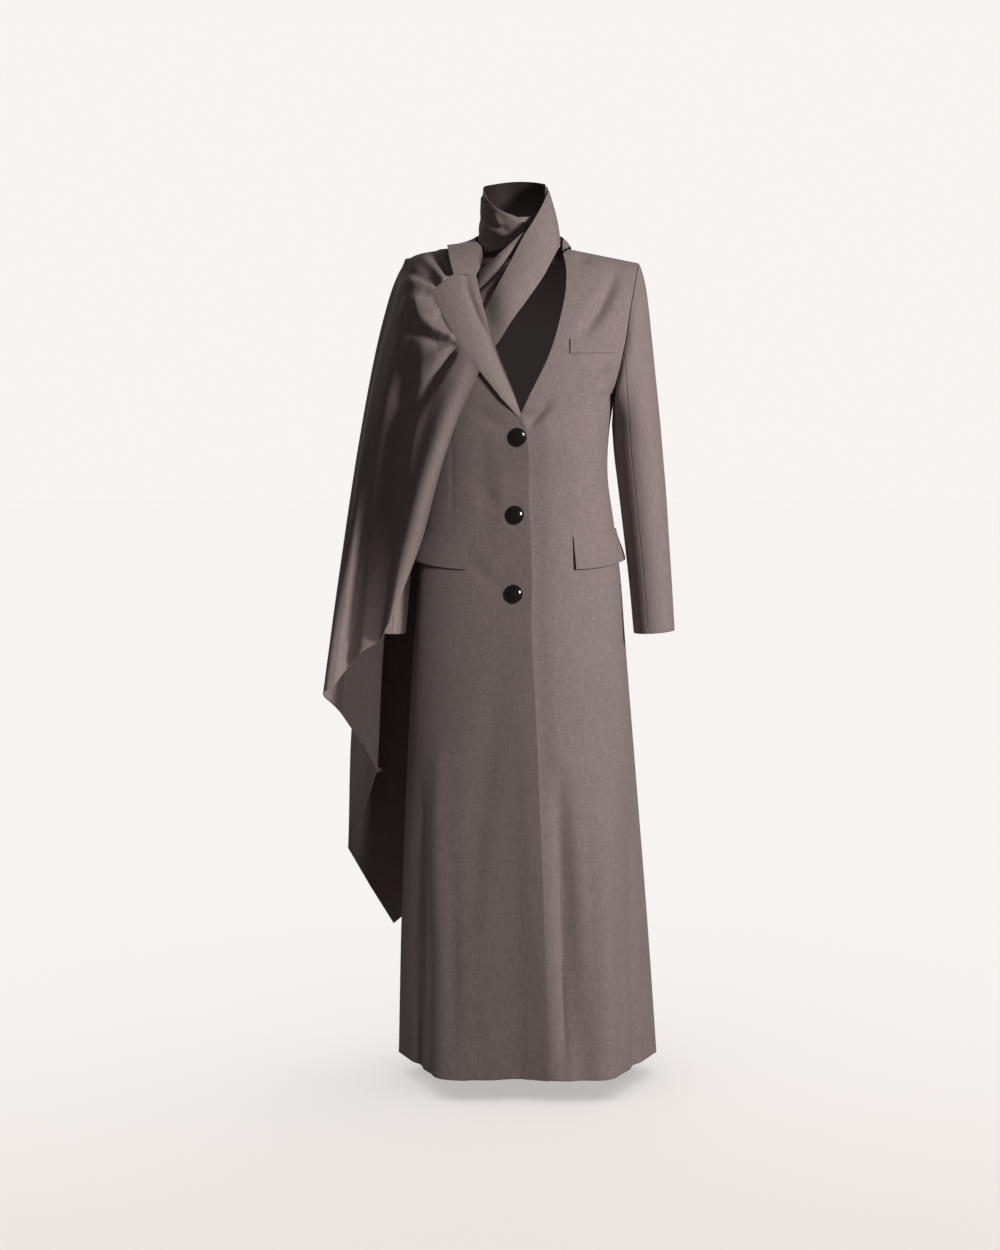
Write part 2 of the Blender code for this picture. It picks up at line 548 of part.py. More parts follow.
def settle_over(points, tree, centre_line, clear):
    """Moves each point away from the body's or arm's middle until it lies clear of what the tree holds."""
    settled = points.copy()
    for index in np.ndindex(points.shape[:2]):
        point = Vector(points[index])
        middle = Vector(centre_line(point))
        out = point - middle
        length = out.length
        hit = tree.ray_cast(point + out / length * 0.3, -out / length, 0.3 + clear[index[0]])
        if hit[0] is not None:
            need = (hit[0] - middle).length + clear[index[0]]
            if need > length:
                settled[index] = middle + out * (need / length)
    return settled


# Pieces


def panel_rows():
    """Height coordinates of a panel's rows: even in the skirt, closer over the chest and shoulder."""
    skirt = np.linspace(HEM_Z - ARM_Z, SKIRT_TOP, 9)[:-1]
    torso = np.linspace(SKIRT_TOP, 0.0, 9)[:-1]
    yoke = SHOULDER_RISE * np.sin(np.linspace(0.0, 1.0, 10) * math.pi / 2)
    return np.concatenate([skirt, torso, yoke])


def edge_angles(edge, heights):
    """Angle of a front's inner edge at each height coordinate."""
    angles, at = place_of(edge[:, 0], edge[:, 1])
    order = np.argsort(at)
    table = np.column_stack([at[order], angles[order]])
    return smooth(table, 1, heights)


def front_grid(side, columns=12):
    """Points and normals of a front, a row for each height, from its inner edge to the side seam or armhole."""
    heights = panel_rows()
    inner = edge_angles(LEFT_EDGE if side > 0 else RIGHT_EDGE, heights)
    outer = armhole_angle(heights, side, 1)
    share = np.linspace(0.0, 1.0, columns)
    angle = inner[:, None] + (outer - inner)[:, None] * share[None, :]
    height = np.broadcast_to(heights[:, None], angle.shape)
    points, normals = body(angle, height, 1), body_normal(angle, height, 1)
    if side > 0:
        over = body(edge_angles(RIGHT_EDGE, heights), heights, 1)[:, 0]
        beyond = points[..., 0] - over[:, None] - UNDERLAP_REACH
        below_v = ease((UNDERLAP_Z - points[..., 2]) / UNDERLAP_FADE)
        tuck = UNDERLAP_TUCK * (1.0 - ease(beyond / UNDERLAP_RAMP)) * below_v
        points = points - normals * tuck[..., None]
    points[..., 1] -= SEAM / 2
    return points, normals


def make_front(name, side, material, collection):
    points, normals = front_grid(side)
    return wall_object(name, points, normals, material, collection, flip=side < 0)


def back_grid(columns=17):
    heights = panel_rows()
    share = np.linspace(-1.0, 1.0, columns)
    left, right = armhole_angle(heights, 1, -1), armhole_angle(heights, -1, -1)
    angle = np.where(share > 0, share * left[:, None], -share * right[:, None])
    neck_share = NECK_HALF / YOKE[-1, 2]
    drop = BACK_NECK_DROP * np.sqrt(np.clip(1.0 - (share / neck_share) ** 2, 0.0, 1.0))
    limit = SHOULDER_RISE * (1.0 - drop)
    height = np.where(heights[:, None] > 0, heights[:, None] * (limit / SHOULDER_RISE)[None, :], heights[:, None])
    points = body(angle, height, -1)
    points[..., 1] += SEAM / 2
    return points, body_normal(angle, height, -1), height


def make_back(material, collection):
    points, normals, _ = back_grid()
    return wall_object("back", points, normals, material, collection, flip=True)


def make_back_lining(material, collection):
    """The lining of the back, as far down as the V lets it be seen."""
    points, normals, height = back_grid()
    rows = (height[:, 0] > LINING_FOOT) & (height[:, 0] < SHOULDER_RISE * LINING_TOP)
    inside = points - normals * (WALL + LAYER)
    return wall_object(
        "back_lining", inside[rows][:, 2:-2], normals[rows][:, 2:-2], material, collection, True, LINING_WALL
    )


def sleeve_rows(side, theta):
    """Points of a sleeve's outer side at these angles round the arm, a row from the armhole down to the cuff."""
    down = np.linspace(SLEEVE[0, 0], SLEEVE[-1, 0], 9)
    rise = (1.0 + np.cos(theta)) / 2.0
    height = rise * SHOULDER_RISE
    front = (np.sin(theta) >= 0)[:, None]
    hole = np.where(
        front,
        body(armhole_angle(height, side, 1), height, 1),
        body(armhole_angle(height, side, -1), height, -1),
    )
    hole[:, 0] += side * SEAM * 2

    def ring(z):
        inner, outer, middle_y, half_depth = (smooth(SLEEVE, i, z) for i in range(1, 5))
        shift = 0.0 if side > 0 else RIGHT_SHIFT
        x = (inner + outer) / 2 + shift + (outer - inner) / 2 * np.cos(theta)
        slant = CUFF_SLANT * np.cos(theta) / 2 * ease((down[0] - z) / (down[0] - down[-1]))
        return np.column_stack([side * x, middle_y - half_depth * np.sin(theta), z + slant])

    rows = []
    for share in (1.0, 0.96, 0.88, 0.76, 0.58, 0.38, 0.18):
        row = ring(down[0]) * (1.0 - share) + hole * share
        row[:, 0] += side * CAP_CORNER[side] * (0.45 + 0.55 * np.cos(theta)) * (share - share**12)
        row[:, 1] *= 1.0 + 0.25 * (share - share**6)
        rows.append(row)
    return np.array(rows + [ring(z) for z in down])


def make_sleeve(name, side, start, end, columns, material, collection):
    theta = np.radians(np.linspace(start + SEAM_ANGLE, end - SEAM_ANGLE, columns))
    step = 0.01
    points = sleeve_rows(side, theta)
    across = sleeve_rows(side, theta + step) - sleeve_rows(side, theta - step)
    normals = side * np.cross(across, np.gradient(points, axis=0))
    normals /= np.linalg.norm(normals, axis=-1, keepdims=True)
    # The wall of the first row ends flat against the armhole instead of reaching into it
    inward = np.maximum(side * normals[0, :, 0], 0.0)
    normals[0, :, 0] -= side * inward
    normals[0] /= np.maximum(1.0 - inward**2, CAP_END)[:, None]
    return wall_object(name, points, normals, material, collection, flip=side < 0)


def lapel_grid():
    rows, columns = 13, 7
    roll, outer = curve_through(LAPEL_ROLL, rows), curve_through(LAPEL_OUTER, rows)
    share = np.linspace(0.0, 1.0, columns)
    flat = roll[:, None, :] + (outer - roll)[:, None, :] * share[None, :, None]
    gorge = LAPEL_NOTCH[1] - (LAPEL_ROLL[-1, 1] + (LAPEL_OUTER[-1, 1] - LAPEL_ROLL[-1, 1]) * 0.5)
    rising = (np.linspace(0.0, 1.0, rows) ** 5)[:, None]
    flat[..., 1] += gorge * (1.0 - np.abs(2.0 * share - 1.0))[None, :] * rising
    open_up = ease(np.linspace(0.0, 1.0, rows) / LAPEL_OPEN)[:, None]
    lift = WALL + LAYER + LAPEL_LIFT * np.sin(share * math.pi / 2)[None, :] * open_up
    return on_body(flat[..., 0], flat[..., 1], lift)


def make_lapel(material, collection):
    return sheet_object("lapel", lapel_grid(), material, collection, flip=False)


def collar_grid(rows, columns):
    """The leaf starts on the lapel's gorge line, which is the first half of the lapel's upper edge."""
    stations = curve_through(COLLAR, columns)
    inner, outer = stations[:, :3], stations[:, 3:]
    share = np.linspace(0.0, 1.0, rows)
    points = inner[None] + (outer - inner)[None] * share[:, None, None]
    points[..., 2] += COLLAR_ARCH * np.sin(share * math.pi)[:, None]
    upper = lapel_grid()[-1]
    along = np.linspace(0.0, 2.0, len(upper))
    gorge = np.column_stack([np.interp(share, along, upper[:, i]) for i in range(3)])
    gorge[:, 2] += SEAM
    passed = np.linspace(0.0, len(COLLAR) - 1.0, columns) / COLLAR_BLEND
    return points + (gorge - points[:, 0])[:, None] * (1.0 - ease(passed))[None, :, None]


def make_collar(material, collection):
    return sheet_object("collar", collar_grid(5, 26), material, collection, flip=True)


def make_flap(name, side, material, collection):
    angles = side * np.radians(np.linspace(FLAP_START, FLAP_END, 12))
    down = np.linspace(0.0, 1.0, 5)
    back = np.linspace(0.0, 1.0, 12)
    height = FLAP_TOP - ARM_Z - FLAP_DEPTH * down[:, None] + FLAP_SLOPE * ease(back)[None, :]
    angle = np.broadcast_to(angles, height.shape)
    out = WALL + LAYER + FLAP_STAND * ease(down)[:, None] * (FLAP_FRONT + (1.0 - FLAP_FRONT) * back[None, :])
    points = body(angle, height, 1) + body_normal(angle, height, 1) * out[..., None]
    return sheet_object(name, points, material, collection, flip=side > 0)


def make_welt(material, collection):
    z = np.linspace(*WELT_Z, 3)[:, None] + WELT_SLOPE * np.linspace(0.0, 1.0, 7)[None, :]
    points = on_body(np.linspace(*WELT_X, 7)[None, :], z, np.full(z.shape, WALL + LAYER))
    return sheet_object("breast_welt", points, material, collection, flip=True)


def make_button(name, material, collection, panel):
    """A domed button turned about its own axis, with the shank that it is sewn on by, seated on the panel."""
    x, z = BUTTON_PLACES[name]
    angle, height = place_of(np.array(x), np.array(z))
    out = body_normal(angle, height, 1)
    start = body(angle, height, 1) + out * BUTTON_SEARCH
    found = panel.ray_cast(Vector(start), -Vector(out))[0]
    base = found + Vector(out) * SEAM
    dome = [
        (BUTTON_RADIUS * math.cos(a), BUTTON_SHANK + BUTTON_RIM + BUTTON_DOME * math.sin(a))
        for a in np.radians([78, 55, 32, 12, 0])
    ]
    profile = [(0.0, BUTTON_SHANK + BUTTON_RIM + BUTTON_DOME)] + dome
    profile += [(BUTTON_RADIUS * 0.94, BUTTON_SHANK), (BUTTON_RADIUS * 0.30, BUTTON_SHANK)]
    profile += [(BUTTON_RADIUS * 0.30, 0.0), (0.0, 0.0)]
    mesh = bpy.data.meshes.new(name)
    mesh.from_pydata([(r, 0.0, h) for r, h in profile], [(i, i + 1) for i in range(len(profile) - 1)], [])
    mesh.materials.append(material)
    obj = bpy.data.objects.new(name, mesh)
    collection.objects.link(obj)
    screw = obj.modifiers.new("turn", "SCREW")
    screw.axis = "Z"
    screw.steps = screw.render_steps = 18
    screw.use_merge_vertices = True
    screw.merge_threshold = 1e-5
    obj.location = base
    obj.rotation_mode = "QUATERNION"
    obj.rotation_quaternion = Vector(out).to_track_quat("Z", "Y")
    return obj


def ring_grid(angles, space, top_column, foot=None, rows=7):
    """Both turns lie on one cone round the neck, the outer one further out."""
    foot_radius, top_radius, cone_foot, cone_top = (smooth(RING, i, angles) for i in range(1, 5))
    foot_z, top = cone_foot, smooth(RING, top_column, angles)
    if foot is not None:
        foot_z = np.where(angles > 200, np.interp(angles, list(foot), list(foot.values())), foot_z)
    share = np.linspace(0.0, 1.0, rows)[:, None]
    z = foot_z + (top - foot_z) * share
    radius = foot_radius + (top_radius - foot_radius) * (z - cone_foot) / (cone_top - cone_foot) + space
    x = RING_CENTRE[0] + radius * np.cos(np.radians(angles))
    y = RING_CENTRE[1] + radius * np.sin(np.radians(angles))
    return np.stack([x, y, z], axis=-1)


def make_inner_turn(material, collection):
    angles = TURN_STEP * np.arange(-7, 21)
    return sheet_object(
        "stole_inner_turn", ring_grid(angles, 0.0, 4, rows=5), material, collection, closed=True
    )


def make_outer_turn(material, collection):
    angles = TURN_STEP * np.arange(OUTER_TURN[0], OUTER_TURN[1] + 1)
    grid = ring_grid(angles, TURN_SPACE, 5, OUTER_FOOT, rows=6)
    return sheet_object("stole_outer_turn", grid, material, collection)


def make_ribbon(name, table, stations, rows, material, collection):
    rail = curve_through(table, stations)
    upper, lower, bow = rail[:, :3], rail[:, 3:6], rail[:, 6]
    share = np.linspace(0.0, 1.0, rows)[:, None, None]
    points = upper[None] + (lower - upper)[None] * share
    along = np.gradient(rail[:, :3] + rail[:, 3:6], axis=0)
    outward = np.cross(along, lower - upper)
    outward /= np.linalg.norm(outward, axis=1, keepdims=True)
    points += outward[None] * (bow[None, :] * np.sin(share[..., 0] * math.pi))[..., None]
    return sheet_object(name, points, material, collection, flip=True)


def cape_rows():
    above, below = CAPE_ROWS
    return np.concatenate([np.linspace(0.0, CAPE_MIDDLE, above + 1)[:-1], np.linspace(CAPE_MIDDLE, 1.0, below + 1)])


def cape_columns():
    return np.concatenate(
        [i + np.arange(count) / count for i, count in enumerate(CAPE_COLUMNS)] + [[len(CAPE_COLUMNS)]]
    )


def curve_at(points, at):
    """Points at these places along a smooth curve, counted in the given points."""
    table = np.column_stack([np.arange(len(points), dtype=float), points])
    return np.column_stack([smooth(table, i + 1, at) for i in range(points.shape[1])])


def cape_grid(columns, rows):
    levels = len(CAPE["corner"]) - 1
    lines = np.array([curve_at(np.array(points), rows * levels) for points in CAPE.values()]).reshape(len(CAPE), -1)
    curved = curve_at(lines, columns)
    straight = np.column_stack([np.interp(columns, np.arange(len(lines)), places) for places in lines.T])
    share = ease(columns - STRAIGHT_LINE)[:, None] * ease((rows - STRAIGHT_FALL[0]) / STRAIGHT_FALL[1])[None, :]
    share = np.repeat(share, 3, axis=1)
    points = curved + (straight - curved) * share
    return points.reshape(len(columns), len(rows), 3).transpose(1, 0, 2)


def grid_normals(points):
    normal = np.cross(np.gradient(points, axis=1), np.gradient(points, axis=0))
    return normal / np.maximum(np.linalg.norm(normal, axis=-1, keepdims=True), 1e-9)


def drag(line, fall):
    total = np.zeros(np.broadcast(line, fall).shape)
    for place, drift, start, reach, width, height in DRAG_FOLDS:
        along = np.clip((fall - start) / (reach - start), 0.0, 1.0)
        swell = np.sin(np.clip(along, 0.0, 1.0) * math.pi) ** 0.7
        total = total + height * swell * bump((line - place - drift * along) / width)
    return total


def path_distance(x, z, path):
    """Distance from each place to a path, and how far along the path, from 0 to 1, its nearest point lies."""
    path = np.asarray(path, float)
    steps = np.linalg.norm(np.diff(path, axis=0), axis=1)
    starts = np.concatenate([[0.0], np.cumsum(steps)])
    nearest = np.full(np.shape(x), np.inf)
    along = np.zeros(np.shape(x))
    for (x0, z0), (x1, z1), start, length in zip(path[:-1], path[1:], starts, steps):
        t = np.clip(((x - x0) * (x1 - x0) + (z - z0) * (z1 - z0)) / length**2, 0.0, 1.0)
        distance = np.hypot(x - x0 - t * (x1 - x0), z - z0 - t * (z1 - z0))
        closer = distance < nearest
        nearest = np.where(closer, distance, nearest)
        along = np.where(closer, (start + t * length) / starts[-1], along)
    return nearest, along


def fanned(points):
    """Height of the shoulder's folds at these points of the cape."""
    total = np.zeros(points.shape[:2])
    for path, near, far, height in FAN_FOLDS:
        distance, along = path_distance(points[..., 0], points[..., 2], path)
        fade = ease(along / FAN_RISE) * np.cos(np.clip(along, 0.0, 1.0) * math.pi / 2) ** 0.7
        total += height * fade * np.exp(-((distance / (near + (far - near) * along)) ** 2))
    return total * (1.0 - ease((points[..., 1] - FAN_BACK[0]) / (FAN_BACK[1] - FAN_BACK[0])))


def arm_middle(point):
    """The nearest point inside the arm, body or shoulder, which the cape hangs over."""
    z = min(point.z, ARM_TOP)
    if point.x < ARM_FROM:
        return (ARM_AXIS, min(max(point.y, -AXIS_REACH), AXIS_REACH), z)
    return (point.x * 0.6, min(max(point.y, -AXIS_REACH), AXIS_REACH), z)


def make_cape(material, collection, under):
    columns, rows = cape_columns(), cape_rows()
    points = cape_grid(columns, rows)
    heights = drag(columns[None, :], rows[:, None]) + fanned(points)
    points = points + grid_normals(points) * heights[..., None]
    clear = WALL + GATHER_CLEAR + (SHOULDER_CLEAR - GATHER_CLEAR) * ease(rows / CLEAR_FROM * 2.0)
    clear += (CAPE_CLEAR - SHOULDER_CLEAR) * ease((rows - CLEAR_FROM) / CLEAR_OVER)
    points = settle_over(points, outside_tree(under), arm_middle, clear)
    return sheet_object("stole_cape", points, material, collection, flip=False)


def main():
    clear_scene()
    coat = make_collection("long_coat")
    names = ["front_right", "front_left", "back"]
    cloth = {name: make_material(name + "_cloth", CLOTH_COLOUR, 0.8) for name in names}
    front_right = make_front("front_right", -1, cloth["front_right"], coat)
    front_left = make_front("front_left", 1, cloth["front_left"], coat)
    back = make_back(cloth["back"], coat)
    make_back_lining(make_material("lining", LINING_COLOUR, 0.6), coat)
    sleeves = []
    for word, side in (("left", 1), ("right", -1)):
        for part, start, end, columns in (
            ("upper", BACK_SEAM - 360.0, FRONT_SEAM, 13),
            ("under", FRONT_SEAM, BACK_SEAM, 8),
        ):
            name = f"sleeve_{word}_{part}"
            material = make_material(name + "_cloth", CLOTH_COLOUR, 0.8)
            sleeves.append(make_sleeve(name, side, start, end, columns, material, coat))
    lapel = make_lapel(make_material("lapel_cloth", CLOTH_COLOUR, 0.8), coat)
    collar = make_collar(make_material("collar_cloth", CLOTH_COLOUR, 0.8), coat)
    for word, side in (("left", 1), ("right", -1)):
        name = "flap_" + word
        make_flap(name, side, make_material(name + "_cloth", CLOTH_COLOUR, 0.8), coat)
    make_welt(make_material("welt_cloth", CLOTH_COLOUR, 0.8), coat)
    panel = outside_tree([front_right])
    for name in BUTTON_PLACES:
        make_button(name, make_material(name + "_gloss", BUTTON_COLOUR, 0.15), coat, panel)
    make_inner_turn(make_material("inner_turn_cloth", CLOTH_COLOUR, 0.8), coat)
    make_outer_turn(make_material("outer_turn_cloth", CLOTH_COLOUR, 0.8), coat)
    make_ribbon("stole_band", BAND, 20, 6, make_material("band_cloth", CLOTH_COLOUR, 0.8), coat)
    make_ribbon("stole_fold_1", FOLD_1, 10, 4, make_material("fold_1_cloth", CLOTH_COLOUR, 0.8), coat)
    make_ribbon("stole_fold_2", FOLD_2, 8, 4, make_material("fold_2_cloth", CLOTH_COLOUR, 0.8), coat)
    under = [front_right, back] + [s for s in sleeves if "right" in s.name]
    bpy.context.view_layer.update()
    make_cape(make_material("cape_cloth", CLOTH_COLOUR, 0.8), coat, under)


main()
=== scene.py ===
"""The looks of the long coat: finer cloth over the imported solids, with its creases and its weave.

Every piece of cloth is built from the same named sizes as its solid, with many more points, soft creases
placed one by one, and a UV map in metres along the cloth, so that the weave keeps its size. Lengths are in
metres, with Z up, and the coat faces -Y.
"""

import math

import bmesh
import bpy
import numpy as np
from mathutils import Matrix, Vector
from mathutils.bvhtree import BVHTree


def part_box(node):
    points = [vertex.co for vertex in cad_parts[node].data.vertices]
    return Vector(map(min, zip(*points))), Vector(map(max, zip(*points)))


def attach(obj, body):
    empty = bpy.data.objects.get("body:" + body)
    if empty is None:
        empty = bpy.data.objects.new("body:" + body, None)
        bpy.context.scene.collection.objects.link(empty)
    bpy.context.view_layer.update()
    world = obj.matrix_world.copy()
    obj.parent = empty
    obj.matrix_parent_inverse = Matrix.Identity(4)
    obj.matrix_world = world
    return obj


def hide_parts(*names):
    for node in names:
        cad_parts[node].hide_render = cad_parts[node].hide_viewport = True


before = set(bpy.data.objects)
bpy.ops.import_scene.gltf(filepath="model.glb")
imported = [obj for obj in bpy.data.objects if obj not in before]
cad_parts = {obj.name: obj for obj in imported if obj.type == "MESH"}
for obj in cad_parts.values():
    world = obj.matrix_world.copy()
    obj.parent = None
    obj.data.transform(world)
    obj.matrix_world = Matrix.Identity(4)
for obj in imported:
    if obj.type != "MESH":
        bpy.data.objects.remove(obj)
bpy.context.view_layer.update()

# Cloth and gaps
WALL = 0.002  # thickness of the lined suiting
SEAM = 0.0003  # gap between pieces that are sewn together
LAYER = 0.0006  # gap between a panel and what lies on it
LINING_WALL = 0.001
SOFT_EDGE = 0.0007  # how far the cut edges are rounded
LINING_FOOT = -0.30  # lowest row of the lining, from the underarm
LINING_TOP = 0.97  # and its highest, as a share of the rise
LINING_TRIM = 18  # columns that it stops short of the back's sides

# Main sizes of the coat
ARM_Z = -0.245  # height of the underarm points
HEM_Z = -1.337
SHOULDER_RISE = 0.240  # the part of a panel's height coordinate above the underarm
NECK_HALF = 0.076  # from the body's axis to where a shoulder seam meets the neck
NECK_Z = -0.005
SHOULDER_SLOPE = 0.20
RIGHT_SHIFT = 0.008  # how much further out the wearer's right side lies; at the shoulder the sides match
ROW_STEP = 0.0055  # between a panel's rows below the underarm
YOKE_ROWS = 48  # rows above it

# Sections of the body below the underarm. left and right are half widths, front and back are depths from the
# axis, power is the roundness of the curve (2 is an ellipse), box is how far the skirt stands in flat faces.
BODY = np.array(
    # z, left, right, front, back, power, box
    [
        (-0.245, 0.150, 0.158, 0.116, 0.096, 2.3, 0.00),
        (-0.310, 0.1415, 0.150, 0.113, 0.089, 2.3, 0.00),
        (-0.370, 0.1400, 0.149, 0.104, 0.083, 2.3, 0.00),
        (-0.450, 0.1505, 0.160, 0.108, 0.094, 2.3, 0.00),
        (-0.530, 0.161, 0.170, 0.117, 0.108, 2.4, 0.08),
        (-0.640, 0.170, 0.178, 0.128, 0.118, 2.6, 0.25),
        (-0.890, 0.191, 0.192, 0.150, 0.136, 3.4, 0.60),
        (-1.120, 0.210, 0.201, 0.169, 0.152, 5.0, 0.90),
        (HEM_Z, 0.226, 0.206, 0.186, 0.166, 7.0, 1.00),
    ]
)
BOX_CORNER = 0.62  # where the flat front ends, as a share of the half width

# The yoke above the underarm. rise runs from the underarm (0) to the shoulder seam (1), reach is the half
# width of the full curve, and armhole is where the armhole cuts it. The wearer's right side adds RIGHT_SHIFT.
YOKE = np.array(
    # rise, reach, armhole, front, back
    [
        (0.00, 0.150, 0.1500, 0.116, 0.096),
        (0.06, 0.161, 0.1500, 0.116, 0.098),
        (0.20, 0.179, 0.1560, 0.115, 0.102),
        (0.42, 0.196, 0.1660, 0.111, 0.105),
        (0.63, 0.206, 0.1730, 0.106, 0.105),
        (0.80, 0.211, 0.1800, 0.102, 0.104),
        (1.00, 0.215, 0.1890, 0.100, 0.102),
    ]
)
FRONT_ROUND = 2.0  # how the yoke turns over to the shoulder seam
BACK_ROUND = 3.0
SEAM_NORMAL = 0.985  # above this share of the rise a panel's normals stay the same
SEAM_FLAT = 0.98  # and above this one they lie across the shoulder seam
BACK_NECK_DROP = 0.13  # how much lower the back neckline is cut, as a share of the rise

# Inner edges of the two fronts, from the neck down, as (x, z) seen from the front
LEFT_EDGE = np.array(
    [(0.0755, -0.005), (0.066, -0.013), (0.0675, -0.024), (0.0695, -0.037), (0.0695, -0.064), (0.061, -0.113)]
    + [(0.038, -0.187), (-0.004, -0.274), (-0.030, -0.330), (-0.034, -0.400), (-0.034, HEM_Z)]
)
RIGHT_EDGE = np.array(
    [(-0.086, -0.005), (-0.08, -0.028), (-0.0755, -0.05), (-0.072, -0.08), (-0.061, -0.111), (-0.043, -0.168)]
    + [(-0.003, -0.272), (0.006, -0.300), (0.009, -0.335), (0.010, -0.410), (0.014, -0.500), (0.0145, -0.560)]
    + [(0.014, -0.610), (0.020, -0.729), (0.033, -1.050), (0.042, HEM_Z)]
)
UNDERLAP_TUCK = WALL + 0.0018  # how far the left front steps in under the right one
UNDERLAP_REACH = 0.003  # it stays stepped in this far beyond the right front's edge
UNDERLAP_RAMP = 0.034
UNDERLAP_Z = -0.262  # the step starts here, under the V
UNDERLAP_FADE = 0.012

# Long soft folds of the skirt, each from top to hem. place is where it runs at the hem, as an angle from the
# middle (positive to the wearer's left), lean is how far it wanders, width its half width, depth at the hem.
FRONT_FOLDS = np.array(
    # place, lean, width, depth, top
    [
        (-3.0, -4.0, 26.0, -0.026, -0.62),
        (24.0, -2.0, 7.0, -0.010, -0.80),
        (36.0, 3.0, 9.0, 0.006, -0.75),
        (61.0, 4.0, 8.0, -0.006, -0.85),
        (-22.0, -6.0, 10.0, -0.008, -0.66),
        (-38.0, -5.0, 9.0, 0.007, -0.70),
        (-62.0, 3.0, 9.0, -0.006, -0.85),
    ]
)
BACK_FOLDS = np.array(
    [
        (0.0, 2.0, 15.0, -0.016, -0.55),
        (27.0, 4.0, 10.0, -0.010, -0.70),
        (-25.0, -5.0, 11.0, -0.011, -0.66),
        (47.0, 2.0, 9.0, 0.008, -0.75),
        (-48.0, -3.0, 10.0, 0.007, -0.72),
    ]
)

# Sleeve sections from just under the armhole to the cuff, for the wearer's left arm
SLEEVE = np.array(
    # z, inner x, outer x, middle y, half depth
    [
        (-0.290, 0.1470, 0.2265, 0.000, 0.062),
        (-0.330, 0.1500, 0.2300, 0.000, 0.058),
        (-0.400, 0.1585, 0.2360, -0.003, 0.053),
        (-0.470, 0.1670, 0.2405, -0.008, 0.050),
        (-0.540, 0.1750, 0.2450, -0.014, 0.047),
        (-0.627, 0.1830, 0.2500, -0.024, 0.044),
    ]
)
CUFF_SLANT = 0.005  # the cuff's outer side ends this much higher
CAP_CORNER = {1: 0.009, -1: 0.004}  # how far a sleeve head stands out from the shoulder seam
CAP_SHOULDER = 0.55  # how much of that turns round the arm with the shoulder's side
CAP_FULLNESS = 0.25  # how much deeper the head is than the armhole and the arm
CAP_SHARES = np.concatenate([[1.0, 0.985, 0.96, 0.92], np.linspace(0.88, 0.04, 26)])  # its rows
CAP_END = 0.3  # limits how much thicker a sleeve's wall gets where it ends flat against the armhole
FRONT_SEAM = 112.0  # angles of the sleeve seams round the arm, from its outer side
BACK_SEAM = 250.0
SEAM_ANGLE = 0.42  # half the gap of a sleeve seam

# Lapel, as (x, z) seen from the front: the roll line is the right front's own edge
LAPEL_OUTER = [(-0.006, -0.279), (-0.036, -0.243), (-0.068, -0.203), (-0.101, -0.157), (-0.1415, -0.0855)]
LAPEL_ROLL = [(-0.003, -0.274), (-0.020, -0.229), (-0.043, -0.168), (-0.061, -0.111), (-0.0745, -0.053)]
LAPEL_NOTCH_Z = -0.0565
LAPEL_OPEN = 0.24  # share of the roll line over which the lapel opens up from the V's foot
LAPEL_LIFT = 0.016  # how far its outer edge stands off the front

# Collar stations from the lapel's notch round the back of the neck, as inner and outer edges
COLLAR = np.array(
    # inner x, y, z, outer x, y, z
    [
        (-0.0745, -0.0620, -0.048, -0.111, -0.066, -0.0463),
        (-0.065, -0.047, -0.028, -0.1175, -0.047, -0.0235),
        (-0.066, -0.026, -0.006, -0.121, -0.017, -0.0015),
        (-0.076, 0.004, 0.010, -0.120, 0.018, -0.002),
        (-0.069, 0.041, 0.020, -0.099, 0.063, -0.014),
        (-0.038, 0.067, 0.025, -0.056, 0.088, -0.027),
        (-0.006, 0.0755, 0.026, -0.006, 0.090, -0.032),
        (0.028, 0.069, 0.025, 0.042, 0.084, -0.030),
        (0.056, 0.047, 0.021, 0.074, 0.064, -0.021),
        (0.0665, 0.014, 0.014, 0.080, 0.024, -0.003),
        (0.0655, -0.012, 0.008, 0.0755, -0.006, -0.001),
        (0.0645, -0.032, -0.0105, 0.0740, -0.025, -0.0055),
    ]
)
COLLAR_ARCH = 0.0015  # rise of the collar's leaf between its edges
COLLAR_BLEND = 2.0  # the leaf leaves the lapel's gorge line over this many stations

# Pocket flaps and welt
FLAP_TOP = -0.468
FLAP_DEPTH = 0.053
FLAP_STAND = 0.009  # how far its lower edge stands off
FLAP_FRONT = 0.35  # share of that at its front end
FLAP_SLOPE = 0.010  # rise of the flap towards the side seam
FLAP_START = 30.5  # front end of the flap, as an angle from the middle of the front
FLAP_END = 84.0
WELT_X = (0.075, 0.147)
WELT_Z = (-0.154, -0.177)
WELT_SLOPE = 0.002

# Buttons
BUTTON_RADIUS = 0.0150
BUTTON_DOME = 0.0062
BUTTON_RIM = 0.0022
BUTTON_SHANK = 0.0028
BUTTON_FOOT = 0.30  # radius of the shank's foot, as a share of the button's
BUTTON_PLACES = {"button_1": (-0.009, -0.309), "button_2": (-0.013, -0.4335), "button_3": (-0.015, -0.559)}

